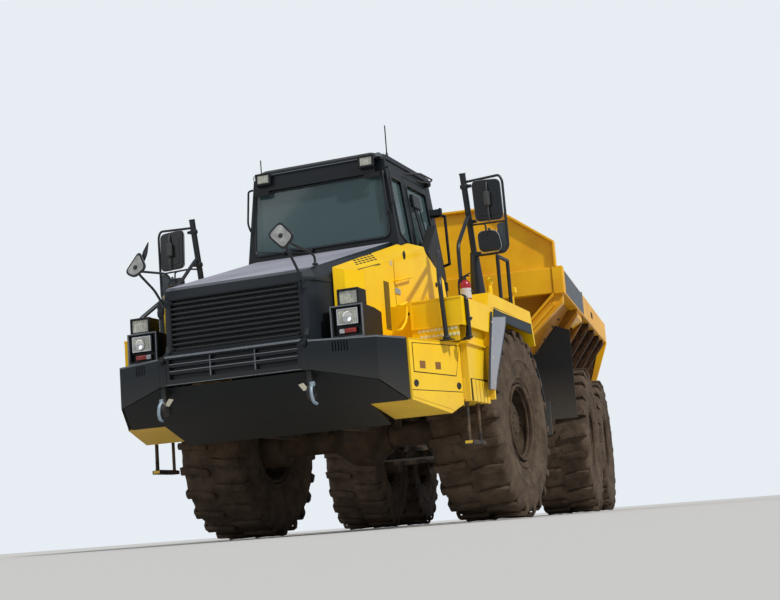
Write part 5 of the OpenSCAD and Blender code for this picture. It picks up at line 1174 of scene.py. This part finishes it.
front, knee = edge_line(FLOOR_HALF, TUB_FRONT, FLOOR_Z), edge_line(FLOOR_HALF, TUB_KNEE, FLOOR_Z)
tail = edge_line(TAIL_HALF, TUB_END, TAIL_Z)
tub = [plate(front + knee[::-1], (0, 0, 0.03)), plate(knee + tail[::-1], (0, 0.01, 0.028)),
       plate(edge_line(RAIL_IN, 2.28, 2.56) + front[::-1], (0, 0.028, 0.008))]
rail_foot = (RAIL_IN, TUB_KNEE, WALL_TOP)
for side in BOTH_SIDES:
    tub.append(plate(across(side, [front[1], knee[1], rail_foot, (RAIL_IN, 2.3, WALL_TOP)]),
        (-side * 0.0244, 0, 0.0174)))
    tub.append(plate(across(side, [knee[1], tail[1], (1.62, TUB_END, WALL_TOP), rail_foot]),
        (-side * 0.024, 0, 0.016)))
    for y in RIB_ROWS:
        rib = on_y(y, (1.7, 2.548), (1.7, 2.48), (1.31, 1.935), (FLOOR_HALF, 1.935),
            (FLOOR_HALF, FLOOR_Z + 0.004), (1.6, 2.556))
        tub.append(plate(across(side, rib), (0, 0.07, 0), 0.005))
    tub.append(side_block(side, (0.37, 2.7, 1.6005), (0.46, 6.6, 1.968), 0.004))
    lug = on_x(0.485, (6.67, 1.968), (6.765, 1.365), (6.935, 1.365), (7.03, 1.968))
    tub.append(plate(across(side, lug), (side * 0.07, 0, 0), 0.006))
    tub.append(turned_form([(0.056, 0.0), (0.098, 0.0), (0.098, 0.084), (0.09, 0.09), (0.056, 0.09)],
        (side * 0.475, 6.85, 1.45), (side, 0, 0)))
    for x in (0.66, 0.778):
        ear = on_x(x, (5.47, 1.968), (5.54, 1.745), (5.66, 1.745), (5.73, 1.968))
        tub.append(plate(across(side, ear), (side * 0.022, 0, 0), 0.003))
    tub.append(rod((side * 0.65, 5.6, 1.8), (side * 0.81, 5.6, 1.8), 0.0345, 24, 0.004))
for y in FLOOR_BEAM_ROWS:
    tub.append(block((-1.165, y, 1.905), (1.165, y + 0.08, 1.968)))
dress("body_underside", "dump", "body_yellow", tub, UNDER_SHADE_AND_RUST)
pocket = on_y(3.72, (1.69, 2.545), (1.69, 2.47), (1.56, 2.39), (1.51, 2.44))
pockets = [plate(across(side, pocket), (0, 0.64, 0), 0.004) for side in BOTH_SIDES]
dress("body_pockets", "dump", "body_yellow", pockets, PAINTED)
panels = [block((RAIL_OUT - 0.002, 2.345, 2.562), (RAIL_OUT + 0.0035, 4.33, 2.826), 0.001),
    block((1.64, 2.35, 2.838), (1.7, 2.39, 2.878)), block((1.69, 4.3, 2.838), (1.7255, 4.37, 2.862))]
dress("side_panels_bare", "dump", "trim_black", panels, SLATE, mirror=True)
# Black in the rail's slots: painted shade.
dress("rail_slots", "dump", "body_yellow",
    [block((RAIL_OUT - 0.001, 5.35, 2.655), (RAIL_OUT + 0.0015, 5.6, 2.738), 0.0)], OPENING_SHADE_AND_SEAMS, mirror=True)
seams = [block((RAIL_IN - 0.003, 2.1735, RAIL_LOW + 0.01), (RAIL_IN + 0.001, 2.1765, 2.855), 0.0),
    block((-1.59, 2.2105, 2.862), (1.59, 2.2125, 2.868), 0.0)]
dress("body_seams", "dump", "body_yellow", seams, UNDER_SHADE_AND_RUST, mirror=True)

# Bolt heads along the top of the flaps

FLAP_EDGE = 3.105
FLAP_BOLTS = ((1.22, 1.985), (1.33, 2.135), (1.44, 2.285), (1.52, 2.365))
flap_bolts = [turned_form([(0.0, 0.0), (0.016, 0.0), (0.014, 0.007), (0.0, 0.009)], (x, FLAP_EDGE, z),
        (0, -1, 0), 12) for x, z in FLAP_BOLTS]
dress("flap_bolts", "dump", "trim_black", flap_bolts, FINISHES["frame_black"], mirror=True)

# Floor, light and camera

clear()
bpy.ops.mesh.primitive_plane_add(size=400.0)
floor = bpy.context.object
floor.name = "floor"
floor.data.materials.append(Finish("floor_finish", (0.55, 0.53, 0.5), 0.9).material)


def placed(name, data, place, turn):
    """An object for a light or camera, its turn in degrees."""
    holder = bpy.data.objects.new(name, data)
    bpy.context.scene.collection.objects.link(holder)
    holder.location = place
    holder.rotation_euler = [math.radians(a) for a in turn]
    return holder


def sun(name, strength, place, turn, spread):
    data = bpy.data.lights.new(name, "SUN")
    data.energy = strength
    data.angle = math.radians(spread)
    placed(name, data, place, turn)


sun("key_sun", 2.7, (12.0, -8.0, 14.0), (45.0, 0.0, 71.0), 3.0)
sun("fill_sun", 0.35, (-12.0, -10.0, 9.0), (62.0, 0.0, -40.0), 35.0)

# The sky lights the truck, and the camera sees a pale background instead

world = bpy.data.worlds.new("studio")
bpy.context.scene.world = world
world.use_nodes = True
world_nodes, world_links = world.node_tree.nodes, world.node_tree.links
sky = world_nodes["Background"]
sky.inputs[0].default_value = (0.8, 0.86, 0.95, 1.0)
sky.inputs[1].default_value = 0.52
pale = world_nodes.new("ShaderNodeBackground")
pale.inputs[0].default_value = (0.8, 0.85, 0.9, 1.0)
rays = world_nodes.new("ShaderNodeLightPath")
seen = world_nodes.new("ShaderNodeMixShader")
world_links.new(rays.outputs["Is Camera Ray"], seen.inputs[0])
world_links.new(sky.outputs[0], seen.inputs[1])
world_links.new(pale.outputs[0], seen.inputs[2])
world_links.new(seen.outputs[0], world_nodes["World Output"].inputs[0])

# The photo's camera

camera = bpy.data.cameras.new("photo_camera")
camera.lens = 63.945
camera.sensor_width = 36.0
camera.clip_end = 500.0
bpy.context.scene.camera = placed("photo_camera", camera, (5.8057, -15.5281, 0.04),
    (99.1982, 4.3161, 21.8749))
bpy.context.scene.view_settings.view_transform = "Standard"
